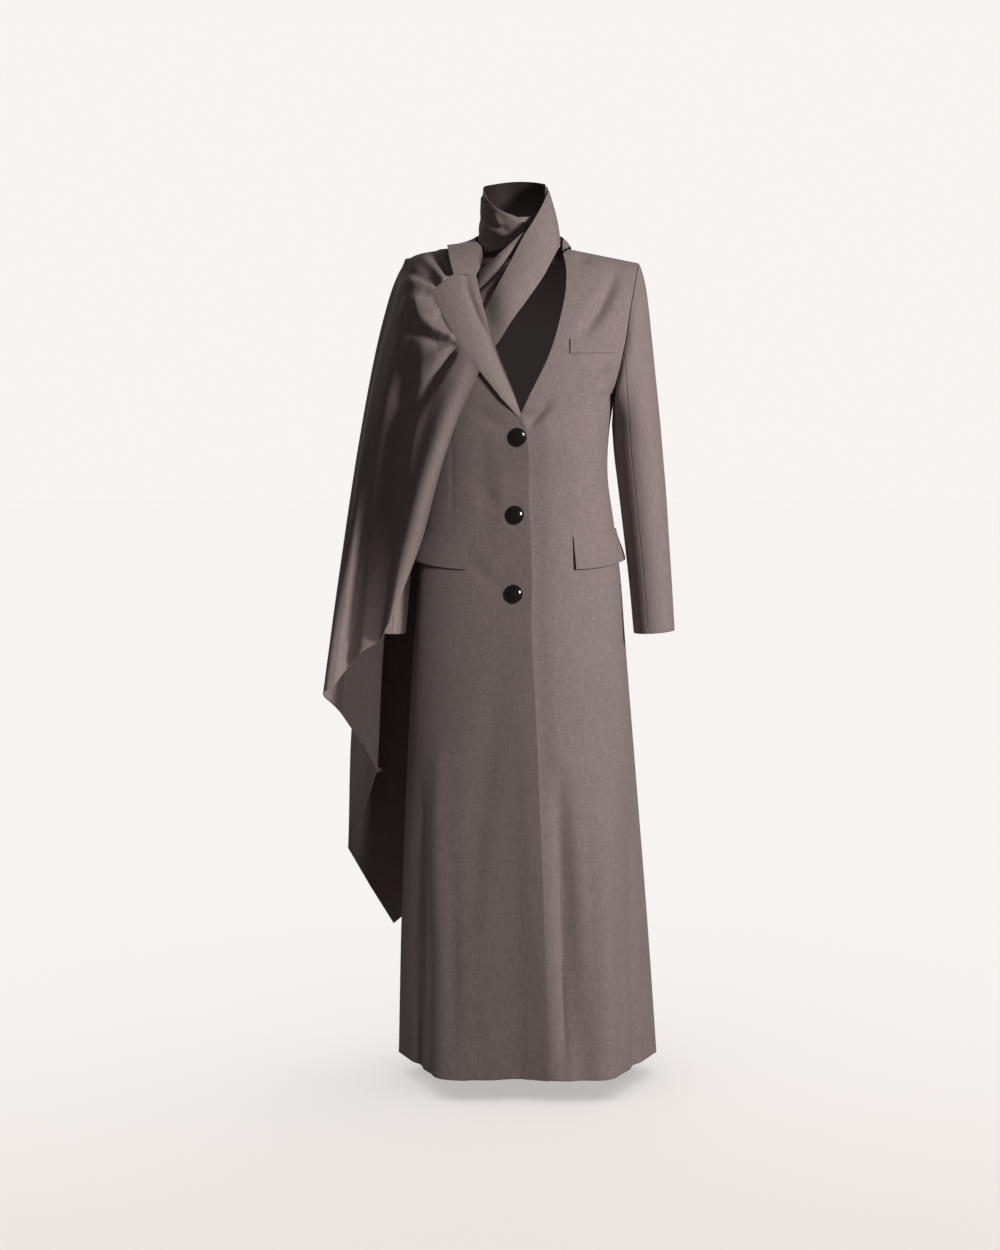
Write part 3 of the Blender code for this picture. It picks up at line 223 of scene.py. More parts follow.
# Stole round the neck: rings given by side (angle from the wearer's left, over the back), radii and edges
RING_CENTRE = (-0.008, 0.008)
RING = np.array(
    # angle, radius at the foot, radius at the top, foot z, top z of the inner turn, top z of the outer turn
    [
        (-90.0, 0.0590, 0.0500, -0.004, 0.043, 0.031),
        (-60.0, 0.0600, 0.0500, 0.000, 0.046, 0.031),
        (-30.0, 0.0600, 0.0480, 0.003, 0.064, 0.055),
        (0.0, 0.0600, 0.0465, 0.002, 0.093, 0.090),
        (45.0, 0.0580, 0.0530, -0.008, 0.106, 0.098),
        (90.0, 0.0560, 0.0560, -0.012, 0.110, 0.099),
        (135.0, 0.0585, 0.0570, -0.008, 0.104, 0.093),
        (180.0, 0.0610, 0.0560, 0.000, 0.092, 0.077),
        (210.0, 0.0600, 0.0540, -0.008, 0.071, 0.066),
        (240.0, 0.0590, 0.0520, -0.010, 0.054, 0.051),
        (270.0, 0.0590, 0.0500, -0.004, 0.043, 0.035),
    ]
)
TURN_STEP = 360.0 / 28.0  # the facets of both turns run side by side
OUTER_TURN = (1, 22)  # it starts at the band on the wearer's left and ends behind it in front, in steps
TURN_SPACE = 0.0029
OUTER_FOOT = {225.0: -0.012, 250.0: -0.006, 270.0: 0.010, 283.0: 0.018}

# Ribbons of the stole over the throat: upper and lower edge at each station, and how far the middle bows out
BAND = np.array(
    # upper x, y, z, lower x, y, z, bow
    [
        (0.0432, 0.020, 0.092, 0.0622, 0.018, 0.000, 0.003),
        (0.041, 0.002, 0.087, 0.062, -0.004, -0.001, 0.004),
        (0.031, -0.034, 0.062, 0.057, -0.034, -0.007, 0.006),
        (0.016, -0.058, 0.034, 0.046, -0.058, -0.028, 0.007),
        (0.000, -0.072, 0.008, 0.031, -0.074, -0.056, 0.006),
        (-0.020, -0.083, -0.031, 0.007, -0.089, -0.091, 0.005),
        (-0.041, -0.089, -0.070, -0.017, -0.099, -0.124, 0.004),
        (-0.060, -0.0810, -0.105, -0.038, -0.0980, -0.157, 0.001),
        (-0.072, -0.0815, -0.120, -0.055, -0.0970, -0.178, 0.000),
    ]
)
FOLD_1 = np.array(
    [
        (0.008, -0.062, 0.023, 0.012, -0.061, 0.017, 0.001),
        (-0.014, -0.067, 0.004, -0.010, -0.066, -0.010, 0.003),
        (-0.036, -0.070, -0.016, -0.032, -0.071, -0.036, 0.004),
        (-0.057, -0.062, -0.034, -0.054, -0.067, -0.059, 0.002),
        (-0.0785, -0.0470, -0.052, -0.0785, -0.0610, -0.080, 0.000),
    ]
)
FOLD_2 = np.array(
    [
        (-0.026, -0.073, -0.040, -0.024, -0.073, -0.046, 0.000),
        (-0.044, -0.076, -0.058, -0.042, -0.077, -0.070, 0.002),
        (-0.060, -0.0720, -0.072, -0.058, -0.0755, -0.090, 0.001),
        (-0.0745, -0.0655, -0.083, -0.0730, -0.0750, -0.104, 0.000),
    ]
)

# The cape: fold lines from the front edge round the arm to the back edge, each with a point at every level of
# its fall. Neighbouring lines that turn back on each other are the pleats of the cascade.
CAPE = {
    # line: gather, near the lapel, shoulder, then upper arm, elbow, wrist, hem, each as x, y, z
    "front_edge": [(-0.050, -0.1120, -0.178), (-0.068, -0.1145, -0.204), (-0.086, -0.118, -0.242)]
    + [(-0.108, -0.115, -0.292), (-0.134, -0.11, -0.372), (-0.16, -0.104, -0.47), (-0.193, -0.096, -0.558)],
    "front_strip": [(-0.070, -0.1030, -0.155), (-0.088, -0.1090, -0.176), (-0.112, -0.118, -0.225)]
    + [(-0.135, -0.119, -0.29), (-0.165, -0.112, -0.385), (-0.195, -0.104, -0.5), (-0.224, -0.094, -0.622)],
    "face": [(-0.094, -0.0920, -0.124), (-0.113, -0.0960, -0.138), (-0.144, -0.106, -0.176)]
    + [(-0.17, -0.106, -0.252), (-0.204, -0.098, -0.37), (-0.234, -0.082, -0.51), (-0.26, -0.073, -0.656)],
    "arm_front": [(-0.116, -0.0740, -0.090), (-0.136, -0.0780, -0.098), (-0.174, -0.086, -0.122)]
    + [(-0.206, -0.084, -0.215), (-0.238, -0.072, -0.35), (-0.26, -0.062, -0.52), (-0.287, -0.057, -0.688)],
    "outer_front": [(-0.104, -0.0500, -0.040), (-0.140, -0.0490, -0.044), (-0.184, -0.048, -0.062)]
    + [(-0.224, -0.04, -0.17), (-0.259, -0.046, -0.33), (-0.281, -0.077, -0.53), (-0.308, -0.073, -0.714)],
    "outer_fold": [(-0.102, -0.016, -0.006), (-0.140, -0.014, -0.010), (-0.193, -0.006, -0.031)]
    + [(-0.23, 0.000, -0.13), (-0.266, -0.006, -0.31), (-0.2985, -0.06, -0.54), (-0.3245, -0.058, -0.728)],
    "outer_back": [(-0.100, 0.014, -0.006), (-0.136, 0.020, -0.011), (-0.186, 0.032, -0.036)]
    + [(-0.219, 0.040, -0.150), (-0.252, 0.044, -0.330), (-0.282, 0.046, -0.570), (-0.304, 0.048, -0.770)],
    "arm_back": [(-0.092, 0.040, -0.009), (-0.120, 0.054, -0.024), (-0.160, 0.064, -0.054)]
    + [(-0.192, 0.078, -0.190), (-0.218, 0.074, -0.380), (-0.244, 0.064, -0.620), (-0.264, 0.060, -0.832)],
    "inner_fold": [(-0.084, 0.054, -0.014), (-0.104, 0.070, -0.036), (-0.140, 0.084, -0.076)]
    + [(-0.176, 0.094, -0.230), (-0.206, 0.088, -0.420), (-0.234, 0.074, -0.660), (-0.2455, 0.070, -0.872)],
    "pleat": [(-0.074, 0.062, -0.017), (-0.094, 0.080, -0.042), (-0.128, 0.094, -0.086)]
    + [(-0.176, 0.108, -0.250), (-0.220, 0.102, -0.450), (-0.256, 0.092, -0.700), (-0.266, 0.086, -0.934)],
    "left_fold": [(-0.064, 0.068, -0.018), (-0.084, 0.086, -0.046), (-0.116, 0.102, -0.094)]
    + [(-0.172, 0.120, -0.270), (-0.230, 0.118, -0.480), (-0.284, 0.110, -0.750), (-0.296, 0.104, -1.010)],
    "corner_side": [(-0.052, 0.073, -0.019), (-0.068, 0.092, -0.050), (-0.094, 0.110, -0.104)]
    + [(-0.140, 0.132, -0.290), (-0.190, 0.134, -0.520), (-0.246, 0.130, -0.800), (-0.258, 0.126, -1.083)],
    "corner": [(-0.038, 0.0755, -0.020), (-0.050, 0.096, -0.053), (-0.072, 0.116, -0.114)]
    + [(-0.106, 0.138, -0.300), (-0.146, 0.146, -0.540), (-0.200, 0.150, -0.830), (-0.221, 0.150, -1.150)],
    "back_edge": [(-0.020, 0.078, -0.021), (-0.026, 0.099, -0.055), (-0.040, 0.120, -0.120)]
    + [(-0.052, 0.136, -0.300), (-0.072, 0.148, -0.520), (-0.094, 0.166, -0.780), (-0.112, 0.180, -1.064)],
}
CAPE_COLUMNS = [4, 6, 7, 7, 7, 5, 2, 2, 3, 2, 3, 2, 2]  # columns of the sheet between neighbouring lines
CAPE_FINE = (230, 190)  # the fine sheet's columns and rows
CAPE_CROWD = 1.15  # its rows lie closer together near the top
CAPE_SHARP = 10  # it has a column on each line from this one on, for the hem's corners
STRAIGHT_LINE = 5.5  # past this line the hem's zigzag has straight sides
STRAIGHT_FALL = 0.60, 0.30  # they begin here along the fall, and are straight after this much more of it
GATHER_CLEAR = 0.0012  # least gap under the cape where it is gathered
SHOULDER_CLEAR = 0.0045  # over the shoulder
CAPE_CLEAR = 0.0070  # and over the arm
CLEAR_FROM = 0.24  # the gap starts to grow here along the fall
CLEAR_OVER = 0.16
BELOW_CAPE = ("front_right", "back", "sleeve_right_upper", "sleeve_right_under")
ARM_TOP = -0.075  # the arm's axis, which the cape hangs over, from its top down
ARM_AXIS = -0.185
ARM_FROM = -0.14  # nearer the neck the cape hangs over the body instead
BODY_AXIS = 0.6  # from a place this share of its own way out
AXIS_REACH = 0.025  # how far the axis reaches forward and back
CLOTH_SEARCH = 0.3  # how far out the search for what lies under the cape starts

# Long folds of the fall: line is where a fold starts between the lines above, drift how far it wanders, start
# and reach how far down it begins and ends (0 to 1), height how far it stands up, or sinks if it is negative.
DRAG_FOLDS = [
    # line, drift, start, reach, width, height
    (0.80, 0.05, 0.16, 1.25, 0.75, 0.007),
    (3.10, -2.60, 0.30, 1.35, 0.80, -0.015),
    (4.55, 0.00, 0.30, 0.95, 0.50, -0.004),
]

# Folds over the shoulder, which fan out from under the lapel and the collar. Each has its path as (x, z) seen
# from the front, its half width where it starts and where it ends, and its height, negative where it sinks.
FAN_FOLDS = [
    ([(-0.111, -0.050), (-0.123, -0.029), (-0.138, -0.007)], 0.0058, 0.0083, 0.005),
    ([(-0.117, -0.052), (-0.132, -0.031), (-0.146, -0.010)], 0.0041, 0.0066, -0.004),
    ([(-0.122, -0.064), (-0.143, -0.041), (-0.165, -0.017)], 0.0066, 0.0099, 0.007),
    ([(-0.133, -0.070), (-0.159, -0.056), (-0.194, -0.040)], 0.0058, 0.0083, -0.005),
    ([(-0.137, -0.079), (-0.168, -0.068), (-0.203, -0.054)], 0.0083, 0.0149, 0.008),
    ([(-0.108, -0.148), (-0.137, -0.098), (-0.164, -0.082)], 0.0083, 0.0132, -0.007),
    ([(-0.132, -0.115), (-0.175, -0.091), (-0.203, -0.064)], 0.0083, 0.0132, 0.006),
    ([(-0.105, -0.156), (-0.142, -0.139), (-0.163, -0.118), (-0.191, -0.088)], 0.0066, 0.0149, 0.010),
    ([(-0.105, -0.161), (-0.135, -0.160), (-0.167, -0.144), (-0.202, -0.120)], 0.0058, 0.0149, -0.007),
    ([(-0.105, -0.165), (-0.137, -0.177), (-0.173, -0.174), (-0.208, -0.163)], 0.0083, 0.0215, 0.005),
    ([(-0.106, -0.171), (-0.139, -0.206), (-0.177, -0.228), (-0.222, -0.238)], 0.0066, 0.0181, -0.005),
    (
        [(-0.104, -0.161), (-0.117, -0.181), (-0.141, -0.216), (-0.179, -0.270), (-0.197, -0.301)],
        0.0050,
        0.0149,
        -0.008,
    ),
]
FAN_RISE = 0.12  # share of its path in which a fold reaches its full height
FAN_BACK = (0.0, 0.02)  # the folds end between these depths, behind the shoulder

# Creases: soft troughs (negative heights) and ridges, each as its path seen from the front, its half width
# and its height. These are the fronts'; the first one makes room for the lapel's trough.
FRONT_CREASES = [
    (
        [(-0.094, -0.042), (-0.070, -0.117), (-0.051, -0.154), (-0.035, -0.199), (-0.020, -0.236)],
        0.009,
        -0.0075,
    ),
    ([(0.150, -0.044), (0.134, -0.087), (0.116, -0.119), (0.093, -0.146)], 0.011, -0.0110),
    ([(0.085, -0.018), (0.098, -0.023), (0.112, -0.025)], 0.006, -0.0040),
    ([(0.142, -0.196), (0.131, -0.214), (0.119, -0.229)], 0.007, -0.0065),
    ([(0.006, -0.292), (0.024, -0.276), (0.046, -0.252)], 0.007, -0.0085),
    ([(-0.020, -0.300), (-0.046, -0.286), (-0.080, -0.262)], 0.010, -0.0040),
    ([(-0.024, -0.432), (-0.050, -0.410), (-0.082, -0.372)], 0.011, -0.0035),
    ([(-0.026, -0.556), (-0.056, -0.536), (-0.090, -0.500)], 0.011, -0.0035),
    ([(-0.066, -0.290), (-0.062, -0.380), (-0.055, -0.470)], 0.014, -0.0035),
    ([(-0.028, -0.330), (-0.034, -0.400), (-0.030, -0.470)], 0.009, 0.0025),
    ([(-0.033, -0.660), (-0.055, -0.800), (-0.072, -0.960), (-0.085, -1.120)], 0.022, -0.0080),
    ([(-0.134, -0.800), (-0.138, -0.960), (-0.140, -1.120)], 0.012, 0.0060),
    ([(-0.165, -0.850), (-0.172, -1.050), (-0.178, -1.250)], 0.010, -0.0060),
    ([(-0.110, -0.960), (-0.112, -1.120), (-0.110, -1.330)], 0.012, -0.0060),
    ([(0.008, -0.760), (0.012, -0.960), (0.022, -1.200)], 0.016, 0.0050),
    ([(0.058, -0.850), (0.066, -1.060), (0.071, -1.365)], 0.014, -0.0170),
    ([(0.130, -0.900), (0.136, -1.100), (0.138, -1.330)], 0.018, 0.0070),
    ([(0.178, -0.930), (0.182, -1.060), (0.186, -1.200)], 0.008, -0.0060),
    ([(0.098, -0.392), (0.101, -0.430), (0.104, -0.466)], 0.0035, -0.0016),
    ([(-0.115, -0.300), (-0.113, -0.380), (-0.115, -0.462)], 0.0035, -0.0016),
    ([(0.013, -1.018), (0.016, -1.028), (0.020, -1.036)], 0.005, -0.0025),
    ([(-0.082, -1.330), (-0.078, -1.350), (-0.070, -1.368)], 0.008, -0.0030),
]

# The lapel's own soft trough, and the gathers of the outer turn where it is drawn in
LAPEL_CREASES = [
    (
        [(-0.094, -0.042), (-0.086, -0.079), (-0.070, -0.117), (-0.051, -0.154)]
        + [(-0.035, -0.199), (-0.020, -0.236)],
        0.006,
        -0.0065,
    ),
    ([(-0.078, -0.079), (-0.060, -0.130), (-0.040, -0.180)], 0.005, 0.0015),
]
TURN_CREASES = [
    ([(-0.070, 0.049), (-0.048, 0.030), (-0.020, 0.021)], 0.005, -0.0045),
    ([(-0.070, 0.030), (-0.045, 0.019), (-0.020, 0.014)], 0.007, 0.0040),
    ([(-0.070, 0.006), (-0.045, 0.009), (-0.015, 0.011)], 0.004, -0.0035),
    ([(-0.048, 0.052), (-0.040, 0.036), (-0.036, 0.022)], 0.006, 0.0030),
]

# Camera, studio and colours
CAMERA_PLACE = (-0.0363, -3.8, -0.297)
CAMERA_TARGET = (-0.0363, 0.0, -0.61875)
FRAME_WIDTH = 1000
METRES_PER_PIXEL = 0.00165
FLOOR_Z = -1.372
FLOOR_SIZE = 60.0
FLOOR_COLOUR = (0.900, 0.868, 0.845)
# Painted shade on the floor: its colour darkens towards the camera, where the light on it falls off
FLOOR_PAINTED_SHADE_COLOUR = (0.735, 0.672, 0.632)
FLOOR_PAINTED_SHADE_FADE = (0.6, -2.4)  # painted shade: the floor turns to its darker colour from here behind the coat to here in front
SKY_SEEN = (0.944, 0.909, 0.882)
AMBIENT_COLOUR = (1.0, 0.97, 0.95)
AMBIENT_STRENGTH = 0.09
KEY_AIM = (0.0, -0.1, -0.3)
KEY_DISTANCE = 2.8
KEY_RISE = 12.0
KEY_SIZE = 0.55
KEY_TURN = 45.0  # degrees round from the camera's side towards the wearer's left
KEY_POWER = 90.0
SHADED_TURN = 16.0  # the same light as it reaches the right front, which turns away from it
SHADED_POWER = 44.0
CAPE_TURN = 60.0  # and the cape, which it grazes
CAPE_POWER = 88.0
UNDER_CAPE_AIM = (-0.29, 0.0, -0.76)  # a small light from low in front reaches the folds under the cape's hem
UNDER_CAPE_TURN = 30.0
UNDER_CAPE_RISE = 4.0
UNDER_CAPE_DISTANCE = 2.0
UNDER_CAPE_CONE = 16.0
UNDER_CAPE_BLEND = 0.7
UNDER_CAPE_SIZE = 0.1
UNDER_CAPE_POWER = 45.0
RIM_TURN = -150.0
RIM_RISE = 30.0
RIM_ANGLE = 30.0
RIM_STRENGTH = 0.5
BACK_RISE = 8.0  # from straight behind, so that it reaches nothing that faces the camera
BACK_ANGLE = 12.0
BACK_STRENGTH = 1.9
NECK_LIGHT_PLACE = (-0.006, -0.015, 0.020)
NECK_LIGHT_AIM = (0.006, 0.060, 0.080)
NECK_LIGHT_SIZE = 0.05
NECK_LIGHT_POWER = 0.03
LINING_RISE = 4.0
LINING_ANGLE = 14.0
LINING_STRENGTH = 2.6
FLOOR_LIGHT_ANGLE = 100.0
FLOOR_LIGHT_STRENGTH = 2.98
FLOOR_SHADE = 0.42  # share of the floor's light that the coat keeps off it
THREADS = 1400.0  # threads in a metre of cloth
WEAVE = [
    # share, detail, roughness, and the stretch across and along the cloth, as shares of THREADS
    (0.34, 1.0, 0.5, 1.0, 0.045),  # warp
    (0.26, 1.0, 0.5, 0.045, 1.0),  # weft
    (0.20, 2.0, 0.6, 0.30, 0.016),  # slubs along the warp
    (0.12, 2.0, 0.6, 0.014, 0.26),  # and along the weft
]
DYE_SHARE = 0.08  # of the soft unevenness of the dye
DYE_SCALE = 9.0
WEAVE_DARK = 0.36  # the weave's height where its colour is the dark thread's
WEAVE_LIGHT = 0.64
WEAVE_ROUGHNESS = 0.78
WEAVE_ROUGHER = 0.16  # how much rougher its highest threads are
SUITING_LIGHT = (0.290, 0.222, 0.211)
SUITING_DARK = (0.165, 0.124, 0.117)
LINING_COLOUR = (0.022, 0.016, 0.015)
BUTTON_COLOUR = (0.006, 0.005, 0.005)


def smooth(table, index, at):
    """One column of a table at these places, along a smooth curve through its rows."""
    keys, values = table[:, 0], table[:, index]
    if keys[0] > keys[-1]:
        keys, values = keys[::-1], values[::-1]
    slopes = np.gradient(values, keys)
    at = np.clip(at, keys[0], keys[-1])
    row = np.clip(np.searchsorted(keys, at, side="right") - 1, 0, len(keys) - 2)
    span = keys[row + 1] - keys[row]
    s = (at - keys[row]) / span
    return (
        (2 * s**3 - 3 * s**2 + 1) * values[row]
        + (s**3 - 2 * s**2 + s) * span * slopes[row]
        + (3 * s**2 - 2 * s**3) * values[row + 1]
        + (s**3 - s**2) * span * slopes[row + 1]
    )


def ease(s):
    s = np.clip(s, 0.0, 1.0)
    return s * s * (3.0 - 2.0 * s)


def bump(distance):
    """1 at the middle, 0 past a distance of 1."""
    return np.where(np.abs(distance) < 1.0, np.cos(np.clip(distance, -1, 1) * math.pi / 2) ** 2, 0.0)


def curve_at(points, at):
    """Points at these places along a smooth curve, counted in the given points."""
    points = np.asarray(points, float)
    table = np.column_stack([np.arange(len(points)), points])
    return np.column_stack([smooth(table, i + 1, at) for i in range(points.shape[1])])


def curve_through(points, count):
    """Points along a smooth curve through the given ones, which keep even steps of its parameter."""
    return curve_at(points, np.linspace(0.0, len(points) - 1.0, count))


# The coat's own surface, as a function of an angle round the body and a height coordinate


def section(angle, height, face):
    """Half width, depth, curve power and box share at this place. height is negative below the underarm."""
    z = ARM_Z + np.minimum(height, 0.0)
    rise = np.clip(height / SHOULDER_RISE, 0.0, 1.0)
    left = angle >= 0
    below = np.where(left, smooth(BODY, 1, z), smooth(BODY, 2, z))
    above = smooth(YOKE, 1, rise) + np.where(left, 0.0, RIGHT_SHIFT * (1.0 - rise))
    half = np.where(height > 0, above, below)
    depth_column = 3 if face == 1 else 4
    depth = np.where(height > 0, smooth(YOKE, depth_column, rise), smooth(BODY, depth_column, z))
    return half, depth, smooth(BODY, 5, z), smooth(BODY, 6, z), rise


def curve_scale(angle, power, box):
    """Distance from the axis on a section with half width and depth of 1."""
    s, c = np.abs(np.sin(angle)), np.abs(np.cos(angle))
    slant = s + (1.0 - BOX_CORNER) * c
    total = (1.0 - box) * s**power + c**power + box * slant**power
    return total ** (-1.0 / power)


def skirt_folds(angle, height, face):
    degrees = np.degrees(angle)
    z = ARM_Z + height
    total = np.zeros(np.broadcast(angle, height).shape)
    for place, lean, width, depth, top in FRONT_FOLDS if face == 1 else BACK_FOLDS:
        fall = np.clip((top - z) / (top - HEM_Z), 0.0, 1.0)
        total = total + depth * ease(fall) * bump((degrees - place - lean * (1.0 - fall)) / width)
    return total


def top_z(x):
    """Height of the shoulder line over a point, carried on towards the neck."""
    return NECK_Z - SHOULDER_SLOPE * (np.abs(x) - NECK_HALF)


def body(angle, height, face):
    """Points of the coat's outer side. face is 1 in front and -1 behind."""
    angle, height = np.broadcast_arrays(np.asarray(angle, float), np.asarray(height, float))
    half, depth, power, box, rise = section(angle, height, face)
    scale = curve_scale(angle, power, box)
    turn = FRONT_ROUND if face == 1 else BACK_ROUND
    over = np.clip(1.0 - rise**turn, 0.0, 1.0) ** (1.0 / turn)
    out = 1.0 + skirt_folds(angle, height, face) / np.maximum(scale * np.maximum(half, depth), 0.05)
    x = half * scale * np.sin(angle) * out
    y = -face * depth * scale * np.cos(angle) * over * out
    z = np.where(height > 0, ARM_Z + (top_z(x) - ARM_Z) * rise, ARM_Z + height)
    return np.stack([x, y, z], axis=-1)


def body_normal(angle, height, face):
    step_angle, step_height = 1e-3, 1e-4
    height = np.minimum(height, SHOULDER_RISE * SEAM_NORMAL)
    across = body(angle + step_angle, height, face) - body(angle - step_angle, height, face)
    along = body(angle, height + step_height, face) - body(angle, height - step_height, face)
    normal = np.cross(across, along) * face
    at_seam = height >= SHOULDER_RISE * SEAM_FLAT
    normal[..., 1] = np.where(at_seam, 0.0, normal[..., 1])
    return normal / np.linalg.norm(normal, axis=-1, keepdims=True)


def place_of(x, z, face=1):
    """Angle and height coordinate of the surface point that is seen at x, z."""
    x, z = np.broadcast_arrays(np.asarray(x, float), np.asarray(z, float))
    rise = (z - ARM_Z) / (top_z(x) - ARM_Z)
    height = np.where(z > ARM_Z, np.clip(rise, 0, 1) * SHOULDER_RISE, z - ARM_Z)
    low, high = np.full(x.shape, -math.pi / 2), np.full(x.shape, math.pi / 2)
    for _ in range(40):
        middle = (low + high) / 2
        beyond = body(middle, height, face)[..., 0] > x
        high, low = np.where(beyond, middle, high), np.where(beyond, low, middle)
    return (low + high) / 2, height


def on_body(x, z, out):
    """The front's surface point that is seen at x, z, moved out along its normal."""
    angle, height = place_of(x, z)
    return body(angle, height, 1) + body_normal(angle, height, 1) * np.asarray(out)[..., None]


def armhole_angle(height, side, face):
    """Angle where the armhole cuts the panel at this height. side is 1 on the wearer's left, else -1."""
    rise = np.clip(np.asarray(height, float) / SHOULDER_RISE, 0.0, 1.0)
    half, _, power, box, _ = section(np.full(rise.shape, side * 1.0), height, face)
    reach = smooth(YOKE, 2, rise) + (RIGHT_SHIFT * (1.0 - rise) if side < 0 else 0.0)
    dense = np.linspace(0.0, math.pi / 2, 400)
    found = [
        np.interp(r, h * curve_scale(dense, p, b) * np.sin(dense), dense)
        for r, h, p, b in zip(np.ravel(reach), np.ravel(half), np.ravel(power), np.ravel(box))
    ]
    found = np.where(np.ravel(rise) > 0, found, math.pi / 2)
    return side * found.reshape(rise.shape)


# Creases and folds


def grid_normals(points):
    normal = np.cross(np.gradient(points, axis=1), np.gradient(points, axis=0))
    return normal / np.maximum(np.linalg.norm(normal, axis=-1, keepdims=True), 1e-9)


def path_distance(x, z, path):
    """Distance from each place to a path, and how far along the path, from 0 to 1, its nearest point lies."""
    path = np.asarray(path, float)
    steps = np.linalg.norm(np.diff(path, axis=0), axis=1)
    starts = np.concatenate([[0.0], np.cumsum(steps)])
    nearest = np.full(np.shape(x), np.inf)
    along = np.zeros(np.shape(x))
    for (x0, z0), (x1, z1), start, length in zip(path[:-1], path[1:], starts, steps):
        t = np.clip(((x - x0) * (x1 - x0) + (z - z0) * (z1 - z0)) / length**2, 0.0, 1.0)
        distance = np.hypot(x - x0 - t * (x1 - x0), z - z0 - t * (z1 - z0))
        closer = distance < nearest
        nearest = np.where(closer, distance, nearest)
        along = np.where(closer, (start + t * length) / starts[-1], along)
    return nearest, along


def creased(points, normals, creases):
    """The same points moved by every crease, which fades out at both ends and across its width."""
    total = np.zeros(points.shape[:2])
    for path, width, height in creases:
        distance, along = path_distance(points[..., 0], points[..., 2], path)
        fade = np.sin(np.clip(along, 0.02, 0.98) * math.pi) ** 0.6
        total += height * fade * np.exp(-((distance / width) ** 2))
    return points + normals * total[..., None]


# Mesh helpers


def cloth_uv(points):
    """How far each point lies along the cloth, in metres, from the grid's first corner."""
    across = np.linalg.norm(np.diff(points, axis=1), axis=2)
    down = np.linalg.norm(np.diff(points, axis=0), axis=2)
    u = np.concatenate([np.zeros((points.shape[0], 1)), np.cumsum(across, axis=1)], axis=1)
    v = np.concatenate([np.zeros((1, points.shape[1])), np.cumsum(down, axis=0)], axis=0)
    middle = points.shape[1] // 2
    return u - u[:, middle : middle + 1], v


def turned_over(corners):
    """The same face seen from its other side, with its diagonal kept."""
    return corners[:1] + corners[:0:-1]


def mesh_from_skins(name, skins, uvs, materials, flip, closed, rim_material=0):
    """A mesh from one grid, or a closed wall from an outer and an inner grid, with the UV map in metres."""
    rows, columns = skins[0].shape[:2]
    data = bmesh.new()
    uv_layer = data.loops.layers.uv.new("cloth")
    u, v = uvs
    grids = []
    for skin in skins:
        grids.append([[data.verts.new(skin[r, c]) for c in range(columns)] for r in range(rows)])
    uv_of = {}
    for grid in grids:
        for r in range(rows):
            for c in range(columns):
                uv_of[grid[r][c]] = (u[r, c], v[r, c])

    def quad(corners, turned, material):
        face = data.faces.new(turned_over(corners) if turned != flip else corners)
        face.smooth = True
        face.material_index = material
        for loop in face.loops:
            loop[uv_layer].uv = uv_of[loop.vert]

    last = columns if closed else columns - 1
    for r in range(rows - 1):
        for c in range(last):
            after = (c + 1) % columns
            for index, grid in enumerate(grids):
                corners = [grid[r][c], grid[r][after], grid[r + 1][after], grid[r + 1][c]]
                quad(corners, index == 1, min(index, len(materials) - 1))
    if len(grids) == 2:
        rim = [(0, c) for c in range(columns)] + [(r, columns - 1) for r in range(1, rows)]
        rim += [(rows - 1, c) for c in range(columns - 2, -1, -1)] + [(r, 0) for r in range(rows - 2, 0, -1)]
        for (r, c), (r2, c2) in zip(rim, rim[1:] + rim[:1]):
            quad([grids[0][r][c], grids[0][r2][c2], grids[1][r2][c2], grids[1][r][c]], True, rim_material)
    mesh = bpy.data.meshes.new(name)
    data.to_mesh(mesh)
    data.free()
    for material in materials:
        mesh.materials.append(material)
    obj = bpy.data.objects.new(name, mesh)
    bpy.context.scene.collection.objects.link(obj)
    return obj


def soft_edges(obj):
    """Rounds the cut edges of a wall, as turned-in cloth has them."""
    bevel = obj.modifiers.new("soft edge", "BEVEL")
    bevel.width = SOFT_EDGE
    bevel.segments = 2
    bevel.limit_method = "ANGLE"
    bevel.angle_limit = math.radians(50)


def wall_cloth(name, outer, normals, materials, flip=False, thickness=WALL, rim_material=0):
    """A closed wall whose inner side lies along the shared surface's own normals."""
    skins = [outer, outer - normals * thickness]
    obj = mesh_from_skins(name, skins, cloth_uv(outer), materials, flip, False, rim_material)
    soft_edges(obj)
    return obj


def sheet_cloth(name, points, materials, flip=False, closed=False):
    """An open sheet that Solidify gives its wall, towards its inner side."""
    obj = mesh_from_skins(name, [points], cloth_uv(points), materials, flip, closed)
    solidify = obj.modifiers.new("cloth", "SOLIDIFY")
    solidify.thickness = WALL
    solidify.offset = -1.0
    solidify.use_even_offset = True
    solidify.thickness_clamp = 2.0
    solidify.material_offset = len(materials) - 1
    soft_edges(obj)
    return obj


def outside_tree(objects):
    """A search tree over these objects' meshes."""
    points, faces = [], []
    for obj in objects:
        start = len(points)
        points += [v.co.copy() for v in obj.data.vertices]
        faces += [[start + i for i in p.vertices] for p in obj.data.polygons]
    return BVHTree.FromPolygons(points, faces)


def settle_over(points, tree, centre_line, clear):
    """Moves each point away from the body's or arm's middle until it lies clear of what the tree holds."""
    settled = points.copy()
    for index in np.ndindex(points.shape[:2]):
        point = Vector(points[index])
        middle = Vector(centre_line(point))
        out = point - middle
        length = out.length
        start = point + out / length * CLOTH_SEARCH
        hit = tree.ray_cast(start, -out / length, CLOTH_SEARCH + clear[index[0]])
        if hit[0] is not None:
            need = (hit[0] - middle).length + clear[index[0]]
            if need > length:
                settled[index] = middle + out * (need / length)
    return settled


# Materials


def node_of(tree, kind, inputs=None, **settings):
    """A new node with these settings and these values on its inputs."""
    node = tree.nodes.new(kind)
    for key, value in settings.items():
        setattr(node, key, value)
    set_inputs(node, inputs or {})
    return node


def set_inputs(node, values):
    for name, value in values.items():
        node.inputs[name].default_value = value


